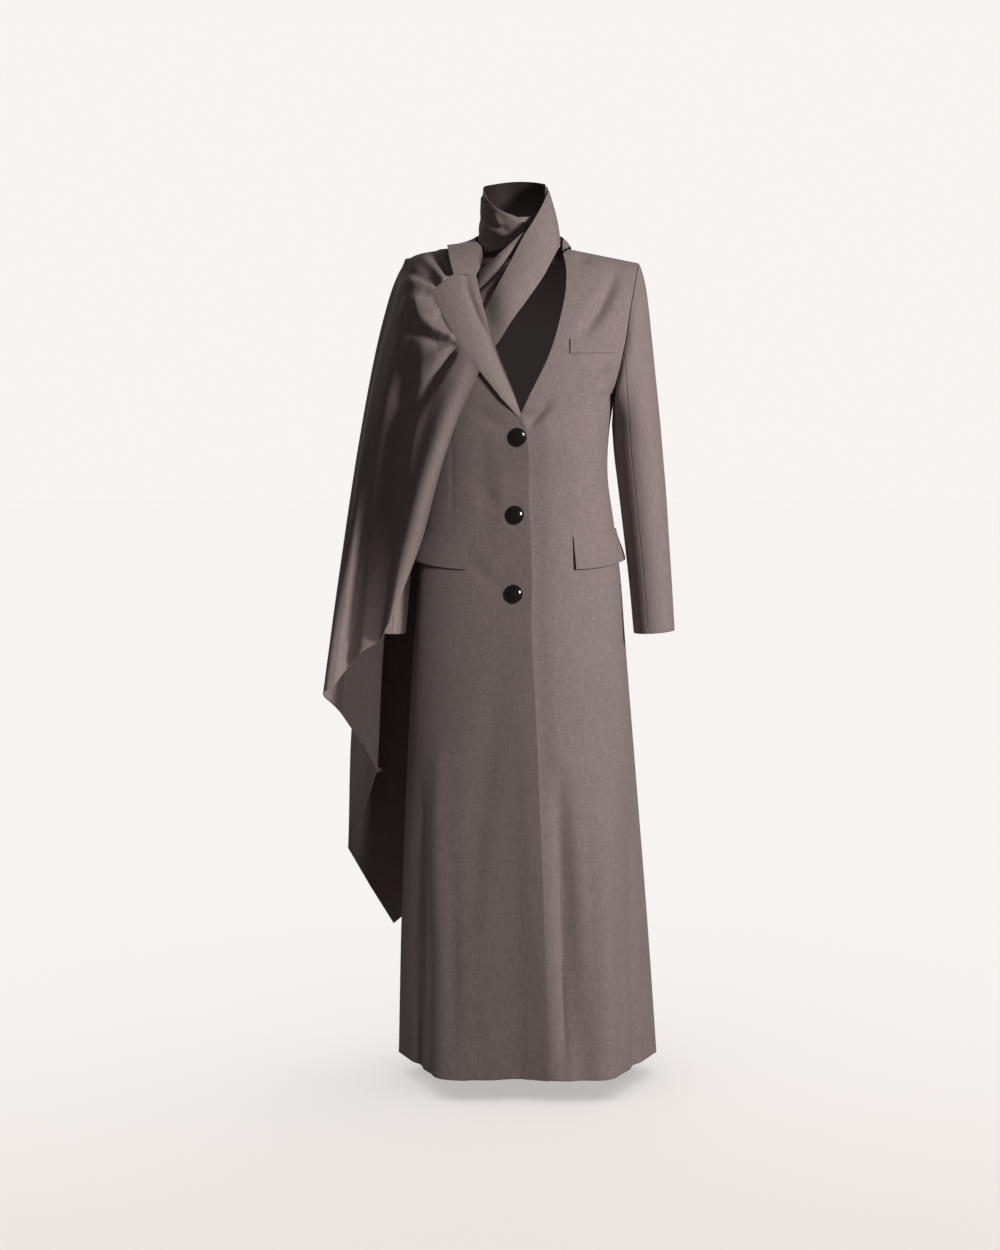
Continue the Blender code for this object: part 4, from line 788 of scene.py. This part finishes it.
def noise_at(tree, vector, scale, detail, roughness, stretch=None):
    """A noise texture on this vector, stretched by a Mapping node where stretch is given."""
    if stretch is not None:
        mapping = node_of(tree, "ShaderNodeMapping", {"Scale": stretch})
        tree.links.new(vector, mapping.inputs["Vector"])
        vector = mapping.outputs["Vector"]
    noise = node_of(tree, "ShaderNodeTexNoise", {"Scale": scale, "Detail": detail, "Roughness": roughness})
    tree.links.new(vector, noise.inputs["Vector"])
    return noise.outputs["Fac"]


def math_of(tree, operation, first, second):
    node = node_of(tree, "ShaderNodeMath", operation=operation)
    for socket, value in zip(node.inputs, (first, second)):
        if isinstance(value, (int, float)):
            socket.default_value = value
        else:
            tree.links.new(value, socket)
    return node.outputs[0]


def build_weave_group():
    """The suiting's woven surface: threads both ways, slubs along them, and a soft unevenness of the dye."""
    group = bpy.data.node_groups.new("suiting weave", "ShaderNodeTree")
    for name, direction, kind in (
        ("Light thread", "INPUT", "NodeSocketColor"),
        ("Dark thread", "INPUT", "NodeSocketColor"),
        ("Color", "OUTPUT", "NodeSocketColor"),
        ("Height", "OUTPUT", "NodeSocketFloat"),
        ("Roughness", "OUTPUT", "NodeSocketFloat"),
    ):
        group.interface.new_socket(name=name, in_out=direction, socket_type=kind)
    start, end = group.nodes.new("NodeGroupInput"), group.nodes.new("NodeGroupOutput")
    cloth = node_of(group, "ShaderNodeUVMap", uv_map="cloth").outputs["UV"]
    total = math_of(group, "MULTIPLY", noise_at(group, cloth, DYE_SCALE, 3.0, 0.6), DYE_SHARE)
    for share, detail, roughness, across, along in WEAVE:
        threads = noise_at(group, cloth, 1.0, detail, roughness, (THREADS * across, THREADS * along, 1.0))
        total = math_of(group, "ADD", total, math_of(group, "MULTIPLY", threads, share))
    spread = node_of(group, "ShaderNodeMapRange", {"From Min": WEAVE_DARK, "From Max": WEAVE_LIGHT})
    group.links.new(total, spread.inputs["Value"])
    mix = node_of(group, "ShaderNodeMix", data_type="RGBA")
    group.links.new(spread.outputs["Result"], mix.inputs["Factor"])
    group.links.new(start.outputs["Dark thread"], mix.inputs["A"])
    group.links.new(start.outputs["Light thread"], mix.inputs["B"])
    group.links.new(mix.outputs["Result"], end.inputs["Color"])
    group.links.new(total, end.inputs["Height"])
    rough = math_of(group, "ADD", math_of(group, "MULTIPLY", total, WEAVE_ROUGHER), WEAVE_ROUGHNESS)
    group.links.new(rough, end.inputs["Roughness"])
    return group


def new_material(name, values):
    """A material whose shader has these values, with its node tree and the shader."""
    material = bpy.data.materials.new(name)
    material.use_nodes = True
    shader = material.node_tree.nodes["Principled BSDF"]
    set_inputs(shader, values)
    return material, material.node_tree, shader


def add_bump(tree, shader, height, strength, distance):
    relief = node_of(tree, "ShaderNodeBump", {"Strength": strength, "Distance": distance})
    tree.links.new(height, relief.inputs["Height"])
    tree.links.new(relief.outputs["Normal"], shader.inputs["Normal"])


def suiting_material(weave):
    values = {"Sheen Weight": 0.12, "Sheen Roughness": 0.55, "Specular IOR Level": 0.22}
    material, tree, shader = new_material("taupe suiting", values)
    threads = {"Light thread": (*SUITING_LIGHT, 1.0), "Dark thread": (*SUITING_DARK, 1.0)}
    cloth = node_of(tree, "ShaderNodeGroup", threads, node_tree=weave)
    tree.links.new(cloth.outputs["Color"], shader.inputs["Base Color"])
    tree.links.new(cloth.outputs["Roughness"], shader.inputs["Roughness"])
    add_bump(tree, shader, cloth.outputs["Height"], 0.22, 0.0006)
    return material


def lining_material():
    values = {"Base Color": (*LINING_COLOUR, 1.0), "Roughness": 0.62, "Specular IOR Level": 0.08}
    material, tree, shader = new_material("lining satin", values)
    cloth = node_of(tree, "ShaderNodeUVMap", uv_map="cloth").outputs["UV"]
    ribs = noise_at(tree, cloth, 1.0, 1.0, 0.5, (THREADS * 0.9, THREADS * 0.12, 1.0))
    add_bump(tree, shader, ribs, 0.1, 0.0003)
    return material


def button_material():
    values = {"Base Color": (*BUTTON_COLOUR, 1.0), "Roughness": 0.16}
    return new_material("black button", {**values, "Coat Weight": 0.6, "Coat Roughness": 0.06})[0]


# Pieces


def panel_rows():
    """Height coordinates of a panel's rows, from the hem to the shoulder seam."""
    below = np.linspace(HEM_Z - ARM_Z, 0.0, int((ARM_Z - HEM_Z) / ROW_STEP))[:-1]
    yoke = SHOULDER_RISE * np.sin(np.linspace(0.0, 1.0, YOKE_ROWS) * math.pi / 2)
    return np.concatenate([below, yoke])


def edge_angles(edge, heights):
    """Angle of a front's inner edge at each height coordinate."""
    angles, at = place_of(edge[:, 0], edge[:, 1])
    order = np.argsort(at)
    table = np.column_stack([at[order], angles[order]])
    return smooth(table, 1, heights)


def front_grid(side, columns=64):
    """Points and normals of a front, row by row, from its inner edge to the side seam or armhole."""
    heights = panel_rows()
    inner = edge_angles(LEFT_EDGE if side > 0 else RIGHT_EDGE, heights)
    outer = armhole_angle(heights, side, 1)
    share = np.linspace(0.0, 1.0, columns)
    angle = inner[:, None] + (outer - inner)[:, None] * share[None, :]
    height = np.broadcast_to(heights[:, None], angle.shape)
    points, normals = body(angle, height, 1), body_normal(angle, height, 1)
    if side > 0:
        over = body(edge_angles(RIGHT_EDGE, heights), heights, 1)[:, 0]
        beyond = points[..., 0] - over[:, None] - UNDERLAP_REACH
        below_v = ease((UNDERLAP_Z - points[..., 2]) / UNDERLAP_FADE)
        tuck = UNDERLAP_TUCK * (1.0 - ease(beyond / UNDERLAP_RAMP)) * below_v
        points = points - normals * tuck[..., None]
    points[..., 1] -= SEAM / 2
    return points, normals


def make_front(name, side, suiting, lining):
    points, normals = front_grid(side)
    points = creased(points, normals, FRONT_CREASES)
    return wall_cloth(name, points, normals, [suiting, lining], flip=side < 0)


def back_grid(columns=150):
    heights = panel_rows()
    share = np.linspace(-1.0, 1.0, columns)
    left, right = armhole_angle(heights, 1, -1), armhole_angle(heights, -1, -1)
    angle = np.where(share > 0, share * left[:, None], -share * right[:, None])
    neck_share = NECK_HALF / YOKE[-1, 2]
    drop = BACK_NECK_DROP * np.sqrt(np.clip(1.0 - (share / neck_share) ** 2, 0.0, 1.0))
    height = np.where(heights[:, None] > 0, heights[:, None] * (1.0 - drop)[None, :], heights[:, None])
    points = body(angle, height, -1)
    points[..., 1] += SEAM / 2
    return points, body_normal(angle, height, -1), height


def make_back(suiting, lining):
    points, normals, _ = back_grid()
    return wall_cloth("back_cloth", points, normals, [suiting, lining], flip=True, rim_material=1)


def make_back_lining(lining):
    points, normals, height = back_grid()
    rows = (height[:, 0] > LINING_FOOT) & (height[:, 0] < SHOULDER_RISE * LINING_TOP)
    points, normals = (grid[rows][:, LINING_TRIM:-LINING_TRIM] for grid in (points, normals))
    inside = points - normals * (WALL + LAYER)
    return wall_cloth("back_lining_cloth", inside, normals, [lining], True, LINING_WALL)


def sleeve_rows(side, theta):
    """Points of a sleeve's outer side at these angles round the arm, in rows from the armhole to the cuff."""
    down = np.linspace(SLEEVE[0, 0], SLEEVE[-1, 0], 64)
    rise = (1.0 + np.cos(theta)) / 2.0
    height = rise * SHOULDER_RISE
    holes = [body(armhole_angle(height, side, face), height, face) for face in (1, -1)]
    hole = np.where((np.sin(theta) >= 0)[:, None], *holes)
    hole[:, 0] += side * SEAM * 2

    def ring(z):
        inner, outer, middle_y, half_depth = (smooth(SLEEVE, i, z) for i in range(1, 5))
        shift = 0.0 if side > 0 else RIGHT_SHIFT
        x = (inner + outer) / 2 + shift + (outer - inner) / 2 * np.cos(theta)
        slant = CUFF_SLANT * np.cos(theta) / 2 * ease((down[0] - z) / (down[0] - down[-1]))
        return np.column_stack([side * x, middle_y - half_depth * np.sin(theta), z + slant])

    rows = []
    for share in CAP_SHARES:
        row = ring(down[0]) * (1.0 - share) + hole * share
        stand = 1.0 - CAP_SHOULDER + CAP_SHOULDER * np.cos(theta)
        row[:, 0] += side * CAP_CORNER[side] * stand * (share - share**12)
        row[:, 1] *= 1.0 + CAP_FULLNESS * (share - share**6)
        rows.append(row)
    return np.array(rows + [ring(z) for z in down])


def make_sleeve(name, side, start, end, columns, suiting, lining):
    theta = np.radians(np.linspace(start + SEAM_ANGLE, end - SEAM_ANGLE, columns))
    step = 0.01
    points = sleeve_rows(side, theta)
    across = sleeve_rows(side, theta + step) - sleeve_rows(side, theta - step)
    normals = side * np.cross(across, np.gradient(points, axis=0))
    normals /= np.linalg.norm(normals, axis=-1, keepdims=True)
    # The wall of the first row ends flat against the armhole instead of reaching into it
    inward = np.maximum(side * normals[0, :, 0], 0.0)
    normals[0, :, 0] -= side * inward
    normals[0] /= np.maximum(1.0 - inward**2, CAP_END)[:, None]
    return wall_cloth(name, points, normals, [suiting, lining], flip=side < 0)


def lapel_grid(rows=90, columns=36):
    roll, outer = curve_through(LAPEL_ROLL, rows), curve_through(LAPEL_OUTER, rows)
    share = np.linspace(0.0, 1.0, columns)
    flat = roll[:, None, :] + (outer - roll)[:, None, :] * share[None, :, None]
    gorge = LAPEL_NOTCH_Z - (LAPEL_ROLL[-1][1] + LAPEL_OUTER[-1][1]) / 2
    rising = (np.linspace(0.0, 1.0, rows) ** 5)[:, None]
    flat[..., 1] += gorge * (1.0 - np.abs(2.0 * share - 1.0))[None, :] * rising
    open_up = ease(np.linspace(0.0, 1.0, rows) / LAPEL_OPEN)[:, None]
    lift = WALL + LAYER + LAPEL_LIFT * np.sin(share * math.pi / 2)[None, :] * open_up
    return on_body(flat[..., 0], flat[..., 1], lift)


def make_lapel(suiting):
    points = lapel_grid()
    return sheet_cloth("lapel_cloth", creased(points, -grid_normals(points), LAPEL_CREASES), [suiting])


def collar_grid(rows, columns):
    """The leaf starts on the lapel's gorge line, which is the first half of the lapel's upper edge."""
    stations = curve_through(COLLAR, columns)
    inner, outer = stations[:, :3], stations[:, 3:]
    share = np.linspace(0.0, 1.0, rows)
    points = inner[None] + (outer - inner)[None] * share[:, None, None]
    points[..., 2] += COLLAR_ARCH * np.sin(share * math.pi)[:, None]
    upper = lapel_grid()[-1]
    along = np.linspace(0.0, 2.0, len(upper))
    gorge = np.column_stack([np.interp(share, along, upper[:, i]) for i in range(3)])
    gorge[:, 2] += SEAM
    passed = np.linspace(0.0, len(COLLAR) - 1.0, columns) / COLLAR_BLEND
    return points + (gorge - points[:, 0])[:, None] * (1.0 - ease(passed))[None, :, None]


def make_collar(suiting):
    return sheet_cloth("collar_cloth", collar_grid(20, 130), [suiting], flip=True)


def make_flap(name, side, suiting):
    angles = side * np.radians(np.linspace(FLAP_START, FLAP_END, 60))
    down = np.linspace(0.0, 1.0, 26)
    back = np.linspace(0.0, 1.0, 60)
    height = FLAP_TOP - ARM_Z - FLAP_DEPTH * down[:, None] + FLAP_SLOPE * ease(back)[None, :]
    angle = np.broadcast_to(angles, height.shape)
    out = WALL + LAYER + FLAP_STAND * ease(down)[:, None] * (FLAP_FRONT + (1.0 - FLAP_FRONT) * back[None, :])
    points = body(angle, height, 1) + body_normal(angle, height, 1) * out[..., None]
    return sheet_cloth(name, points, [suiting], flip=side > 0)


def make_welt(suiting):
    z = np.linspace(*WELT_Z, 12)[:, None] + WELT_SLOPE * np.linspace(0.0, 1.0, 40)[None, :]
    points = on_body(np.linspace(*WELT_X, 40)[None, :], z, np.full(z.shape, WALL + LAYER))
    return sheet_cloth("breast_welt_cloth", points, [suiting], flip=True)


def ring_grid(angles, space, top_column, foot=None, rows=30):
    """Both turns lie on one cone round the neck, the outer one further out."""
    foot_radius, top_radius, cone_foot, cone_top = (smooth(RING, i, angles) for i in range(1, 5))
    foot_z, top = cone_foot, smooth(RING, top_column, angles)
    if foot is not None:
        foot_z = np.where(angles > 200, np.interp(angles, list(foot), list(foot.values())), foot_z)
    share = np.linspace(0.0, 1.0, rows)[:, None]
    z = foot_z + (top - foot_z) * share
    radius = foot_radius + (top_radius - foot_radius) * (z - cone_foot) / (cone_top - cone_foot) + space
    x = RING_CENTRE[0] + radius * np.cos(np.radians(angles))
    y = RING_CENTRE[1] + radius * np.sin(np.radians(angles))
    return np.stack([x, y, z], axis=-1)


def make_inner_turn(suiting, lining):
    angles = np.linspace(-90.0, 270.0, 145)[:-1]
    grid = ring_grid(angles, 0.0, 4)
    return sheet_cloth("stole_inner_turn_cloth", grid, [suiting, lining], closed=True)


def make_outer_turn(suiting, lining):
    angles = np.linspace(TURN_STEP * OUTER_TURN[0], TURN_STEP * OUTER_TURN[1], 120)
    grid = ring_grid(angles, TURN_SPACE, 5, OUTER_FOOT)
    grid = creased(grid, grid_normals(grid), TURN_CREASES)
    return sheet_cloth("stole_outer_turn_cloth", grid, [suiting, lining])


def ribbon_grid(table, stations, rows):
    rail = curve_through(table, stations)
    upper, lower, bow = rail[:, :3], rail[:, 3:6], rail[:, 6]
    share = np.linspace(0.0, 1.0, rows)[:, None, None]
    points = upper[None] + (lower - upper)[None] * share
    along = np.gradient(rail[:, :3] + rail[:, 3:6], axis=0)
    outward = np.cross(along, lower - upper)
    outward /= np.linalg.norm(outward, axis=1, keepdims=True)
    points += outward[None] * (bow[None, :] * np.sin(share[..., 0] * math.pi))[..., None]
    return points


def make_ribbon(name, table, stations, rows, suiting):
    return sheet_cloth(name, ribbon_grid(table, stations, rows), [suiting], flip=True)


def cape_columns():
    return np.concatenate(
        [i + np.arange(count) / count for i, count in enumerate(CAPE_COLUMNS)] + [[len(CAPE_COLUMNS)]]
    )


def cape_grid(columns, rows):
    levels = len(CAPE["corner"]) - 1
    lines = np.array([curve_at(points, rows * levels).ravel() for points in CAPE.values()])
    curved = curve_at(lines, columns)
    straight = np.column_stack([np.interp(columns, np.arange(len(lines)), places) for places in lines.T])
    down = ease((rows - STRAIGHT_FALL[0]) / STRAIGHT_FALL[1])
    share = np.repeat(ease(columns - STRAIGHT_LINE)[:, None] * down[None, :], 3, axis=1)
    points = curved + (straight - curved) * share
    return points.reshape(len(columns), len(rows), 3).transpose(1, 0, 2)


def dragged(line, fall):
    """Height of the long folds at these places of the cape."""
    total = np.zeros(np.broadcast(line, fall).shape)
    for place, drift, start, reach, width, height in DRAG_FOLDS:
        along = np.clip((fall - start) / (reach - start), 0.0, 1.0)
        swell = np.sin(along * math.pi) ** 0.7
        total = total + height * swell * bump((line - place - drift * along) / width)
    return total


def fanned(points):
    """Height of the shoulder's folds at these points of the cape."""
    total = np.zeros(points.shape[:2])
    for path, near, far, height in FAN_FOLDS:
        distance, along = path_distance(points[..., 0], points[..., 2], path)
        fade = ease(along / FAN_RISE) * np.cos(np.clip(along, 0.0, 1.0) * math.pi / 2) ** 0.7
        total += height * fade * np.exp(-((distance / (near + (far - near) * along)) ** 2))
    return total * (1.0 - ease((points[..., 1] - FAN_BACK[0]) / (FAN_BACK[1] - FAN_BACK[0])))


def arm_middle(point):
    """The nearest point inside the arm, body or shoulder, which the cape hangs over."""
    x = ARM_AXIS if point.x < ARM_FROM else point.x * BODY_AXIS
    return (x, min(max(point.y, -AXIS_REACH), AXIS_REACH), min(point.z, ARM_TOP))


def make_cape(suiting, under):
    coarse = cape_columns()
    columns = np.interp(np.linspace(0.0, 1.0, CAPE_FINE[0]), np.linspace(0, 1, len(coarse)), coarse)
    lines = np.arange(CAPE_SHARP, len(CAPE))
    columns[np.abs(columns[:, None] - lines).argmin(axis=0)] = lines
    rows = np.linspace(0.0, 1.0, CAPE_FINE[1]) ** CAPE_CROWD
    points = cape_grid(columns, rows)
    heights = dragged(columns[None, :], rows[:, None]) + fanned(points)
    points = points + grid_normals(points) * heights[..., None]
    clear = WALL + GATHER_CLEAR + (SHOULDER_CLEAR - GATHER_CLEAR) * ease(rows / CLEAR_FROM * 2.0)
    clear += (CAPE_CLEAR - SHOULDER_CLEAR) * ease((rows - CLEAR_FROM) / CLEAR_OVER)
    points = settle_over(points, outside_tree(under), arm_middle, clear)
    return sheet_cloth("stole_cape_cloth", points, [suiting])


def make_button_form(material):
    """A domed button that lies at the origin, face up: a sphere drawn into a dome, a rim and a shank."""
    bpy.ops.object.select_all(action="DESELECT")
    bpy.ops.mesh.primitive_uv_sphere_add(segments=48, ring_count=24, radius=BUTTON_RADIUS)
    form = bpy.context.object
    for vertex in form.data.vertices:
        height = vertex.co.z / BUTTON_RADIUS
        if height >= 0:
            vertex.co.z = BUTTON_SHANK + BUTTON_RIM + BUTTON_DOME * height
        elif height >= -0.5:
            vertex.co.z = BUTTON_SHANK + BUTTON_RIM * (1.0 + max(height * 3.0, -1.0))
        else:
            vertex.co.z = BUTTON_SHANK * (2.0 + height * 2.0)
            reach = vertex.co.xy.length
            vertex.co.xy *= BUTTON_FOOT * BUTTON_RADIUS / reach if reach > 1e-9 else 0.0
    form.data.materials.append(material)
    bpy.ops.object.shade_smooth()
    return form


def make_button(name, form):
    """A copy of the button, turned to face out of the cloth and seated where its solid is."""
    low, high = (np.array(corner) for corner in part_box(name))
    out = Vector(body_normal(*place_of(*BUTTON_PLACES[name]), 1))
    seat = out.to_track_quat("Z", "Y").to_matrix().to_4x4()
    seat.translation = Vector((low + high) / 2) - out * (BUTTON_SHANK + BUTTON_RIM + BUTTON_DOME) / 2
    button = form.copy()
    button.name = name + "_gloss"
    button.data = form.data.copy()
    button.data.transform(seat)
    bpy.context.scene.collection.objects.link(button)
    return button


def towards(turn, rise):
    """The way to a light. turn is the side that it comes from, counted from the camera's."""
    across, up = math.radians(turn), math.radians(rise)
    return Vector((math.sin(across) * math.cos(up), -math.cos(across) * math.cos(up), math.sin(up)))


def add_light(name, kind, energy, way, receivers, place=None, **settings):
    """A light of this kind that shines against way and lights only these objects."""
    data = bpy.data.lights.new(name, kind)
    data.energy = energy
    for key, value in settings.items():
        setattr(data, key, value)
    light = bpy.data.objects.new(name, data)
    if place is not None:
        light.location = place
    light.rotation_euler = way.to_track_quat("Z", "Y").to_euler()
    light.light_linking.receiver_collection = receivers
    bpy.context.scene.collection.objects.link(light)
    return light


def add_softbox(name, turn, power, receivers):
    way = towards(turn, KEY_RISE)
    place = Vector(KEY_AIM) + way * KEY_DISTANCE
    return add_light(name, "AREA", power, way, receivers, place, shape="DISK", size=KEY_SIZE)


def add_low_spot(receivers, blockers):
    way = towards(UNDER_CAPE_TURN, UNDER_CAPE_RISE)
    place = Vector(UNDER_CAPE_AIM) + way * UNDER_CAPE_DISTANCE
    light = add_light("light under the cape", "SPOT", UNDER_CAPE_POWER, way, receivers, place)
    light.data.spot_size = math.radians(UNDER_CAPE_CONE)
    light.data.spot_blend = UNDER_CAPE_BLEND
    light.data.shadow_soft_size = UNDER_CAPE_SIZE
    light.light_linking.blocker_collection = blockers


def add_neck_light(receivers):
    """A small light inside the stole's ring, which fills the ring's dark inside."""
    way = Vector(NECK_LIGHT_PLACE) - Vector(NECK_LIGHT_AIM)
    light = add_light("light in the neck", "AREA", NECK_LIGHT_POWER, way, receivers, NECK_LIGHT_PLACE)
    light.data.shape = "DISK"
    light.data.size = NECK_LIGHT_SIZE
    light.visible_camera = False


def add_sun(name, turn, rise, angle, strength, receivers):
    return add_light(name, "SUN", strength, towards(turn, rise), receivers, angle=math.radians(angle))


def make_camera():
    data = bpy.data.cameras.new("camera")
    camera = bpy.data.objects.new("camera", data)
    camera.location = CAMERA_PLACE
    aim = Vector(CAMERA_TARGET) - Vector(CAMERA_PLACE)
    camera.rotation_euler = aim.to_track_quat("-Z", "Y").to_euler()
    data.sensor_fit = "HORIZONTAL"
    data.sensor_width = 36.0
    data.lens = data.sensor_width * aim.length / (FRAME_WIDTH * METRES_PER_PIXEL)
    bpy.context.scene.collection.objects.link(camera)
    bpy.context.scene.camera = camera


def make_floor():
    """A plain floor of pale paper, with painted shade that darkens it towards the camera, which doesn't light
    the coat.
    """
    bpy.ops.object.select_all(action="DESELECT")
    bpy.ops.mesh.primitive_plane_add(size=FLOOR_SIZE, location=(0.0, 0.0, FLOOR_Z))
    floor = bpy.context.object
    floor.name = "floor"
    floor.visible_diffuse = False
    floor.visible_glossy = False
    paper, tree, shader = new_material("pale floor", {"Roughness": 1.0, "Specular IOR Level": 0.0})
    place = node_of(tree, "ShaderNodeSeparateXYZ")
    tree.links.new(node_of(tree, "ShaderNodeTexCoord").outputs["Object"], place.inputs["Vector"])
    # painted shade: the floor's colour darkens from behind the coat towards the camera
    fade = {"From Min": FLOOR_PAINTED_SHADE_FADE[0], "From Max": FLOOR_PAINTED_SHADE_FADE[1]}
    near = node_of(tree, "ShaderNodeMapRange", fade, interpolation_type="SMOOTHSTEP")
    tree.links.new(place.outputs["Y"], near.inputs["Value"])
    colours = {"A": (*FLOOR_COLOUR, 1.0), "B": (*FLOOR_PAINTED_SHADE_COLOUR, 1.0)}
    colour = node_of(tree, "ShaderNodeMix", colours, data_type="RGBA")
    tree.links.new(near.outputs["Result"], colour.inputs["Factor"])
    tree.links.new(colour.outputs["Result"], shader.inputs["Base Color"])
    floor.data.materials.append(paper)
    return floor


def make_world():
    """A pale studio wall where the camera looks past the floor, and a dim even light on everything else."""
    world = bpy.data.worlds.new("studio")
    bpy.context.scene.world = world
    world.use_nodes = True
    tree = world.node_tree
    ambient = tree.nodes["Background"]
    set_inputs(ambient, {"Color": (*AMBIENT_COLOUR, 1.0), "Strength": AMBIENT_STRENGTH})
    seen = node_of(tree, "ShaderNodeBackground", {"Color": (*SKY_SEEN, 1.0)})
    mix = node_of(tree, "ShaderNodeMixShader")
    tree.links.new(node_of(tree, "ShaderNodeLightPath").outputs["Is Camera Ray"], mix.inputs["Fac"])
    tree.links.new(ambient.outputs["Background"], mix.inputs[1])
    tree.links.new(seen.outputs["Background"], mix.inputs[2])
    tree.links.new(mix.outputs["Shader"], tree.nodes["World Output"].inputs["Surface"])


def gathered(name, pieces, starts=""):
    """A collection of the pieces whose names start like this."""
    found = bpy.data.collections.new(name)
    for piece in pieces:
        if piece.name.startswith(starts):
            found.objects.link(piece)
    return found


def make_studio(pieces):
    """One light from the wearer's left, set apart for each side of the coat, and weak ones that fill the
    folds under the cape, the coat's back, the neck's ring and the lining. The floor has its own."""
    paper = gathered("lit from above", [make_floor()])
    lining = gathered("lining", pieces, "back")
    shaded = gathered("right front", pieces, ("front_right", "flap_right"))
    hanging = gathered("cape side", pieces, ("stole_cape", "stole_outer", "sleeve_right"))
    cloth = [piece for piece in pieces if piece.name != "back_lining_cloth"]
    lit = [piece for piece in cloth if piece.name not in shaded.objects and piece.name not in hanging.objects]
    over_cape = [piece for piece in cloth if piece.name != "lapel_cloth"]
    not_hanging = [piece for piece in cloth if piece.name not in hanging.objects]
    make_world()
    add_softbox("key", KEY_TURN, KEY_POWER, gathered("lit side", lit))
    add_softbox("key on the right front", SHADED_TURN, SHADED_POWER, shaded)
    side = add_softbox("key on the cape", CAPE_TURN, CAPE_POWER, hanging)
    side.light_linking.blocker_collection = gathered("shades the cape", over_cape)
    add_low_spot(hanging, gathered("blocks the low light", not_hanging))
    all_cloth = gathered("all cloth", cloth)
    add_sun("rim", RIM_TURN, RIM_RISE, RIM_ANGLE, RIM_STRENGTH, all_cloth)
    add_sun("light on the back", 180.0, BACK_RISE, BACK_ANGLE, BACK_STRENGTH, all_cloth)
    shade, even = FLOOR_LIGHT_STRENGTH * FLOOR_SHADE, FLOOR_LIGHT_STRENGTH * (1.0 - FLOOR_SHADE)
    add_sun("floor light", 0.0, 90.0, FLOOR_LIGHT_ANGLE, shade, paper)
    unshaded = add_sun("even floor light", 0.0, 90.0, FLOOR_LIGHT_ANGLE, even, paper)
    unshaded.light_linking.blocker_collection = paper
    add_neck_light(gathered("neck", pieces, ("stole_inner", "stole_outer")))
    inner = add_sun("lining light", 0.0, LINING_RISE, LINING_ANGLE, LINING_STRENGTH, lining)
    inner.light_linking.blocker_collection = paper
    bpy.context.scene.view_settings.view_transform = "Standard"


def stand_in(piece, node):
    """Keeps the piece, hides the solid that it stands for, and hangs it on the body that it rides on."""
    pieces.append(piece)
    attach(piece, "root")
    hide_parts(node)


def declare(piece, node):
    """A piece of cloth, which stands in for its solid."""
    stand_in(piece, node)


make_camera()
weave = build_weave_group()
suiting = suiting_material(weave)
inside = lining_material()
pieces = []

declare(make_front("front_right_cloth", -1, suiting, inside), "front_right")
declare(make_front("front_left_cloth", 1, suiting, inside), "front_left")
declare(make_back(suiting, inside), "back")
declare(make_back_lining(inside), "back_lining")
for word, side in (("left", 1), ("right", -1)):
    for part, start, end, columns, cut in (
        ("upper", BACK_SEAM - 360.0, FRONT_SEAM, 72, (0.17, 0.58)),
        ("under", FRONT_SEAM, BACK_SEAM, 44, (0.13, 0.42)),
    ):
        node = f"sleeve_{word}_{part}"
        piece = make_sleeve(node + "_cloth", side, start, end, columns, suiting, inside)
        declare(piece, node)
declare(make_lapel(suiting), "lapel")
declare(make_collar(suiting), "collar")
for word, side in (("left", 1), ("right", -1)):
    declare(make_flap(f"flap_{word}_cloth", side, suiting), "flap_" + word)
declare(make_welt(suiting), "breast_welt")
declare(make_inner_turn(suiting, inside), "stole_inner_turn")
declare(make_outer_turn(suiting, inside), "stole_outer_turn")
declare(make_ribbon("stole_band_cloth", BAND, 130, 34, suiting), "stole_band")
declare(make_ribbon("stole_fold_1_cloth", FOLD_1, 60, 14, suiting), "stole_fold_1")
declare(make_ribbon("stole_fold_2_cloth", FOLD_2, 50, 12, suiting), "stole_fold_2")
under = [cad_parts[name] for name in BELOW_CAPE]
declare(make_cape(suiting, under), "stole_cape")
form = make_button_form(button_material())
for name in BUTTON_PLACES:
    stand_in(make_button(name, form), name)
bpy.data.objects.remove(form)
make_studio(pieces)

bpy.context.view_layer.update()
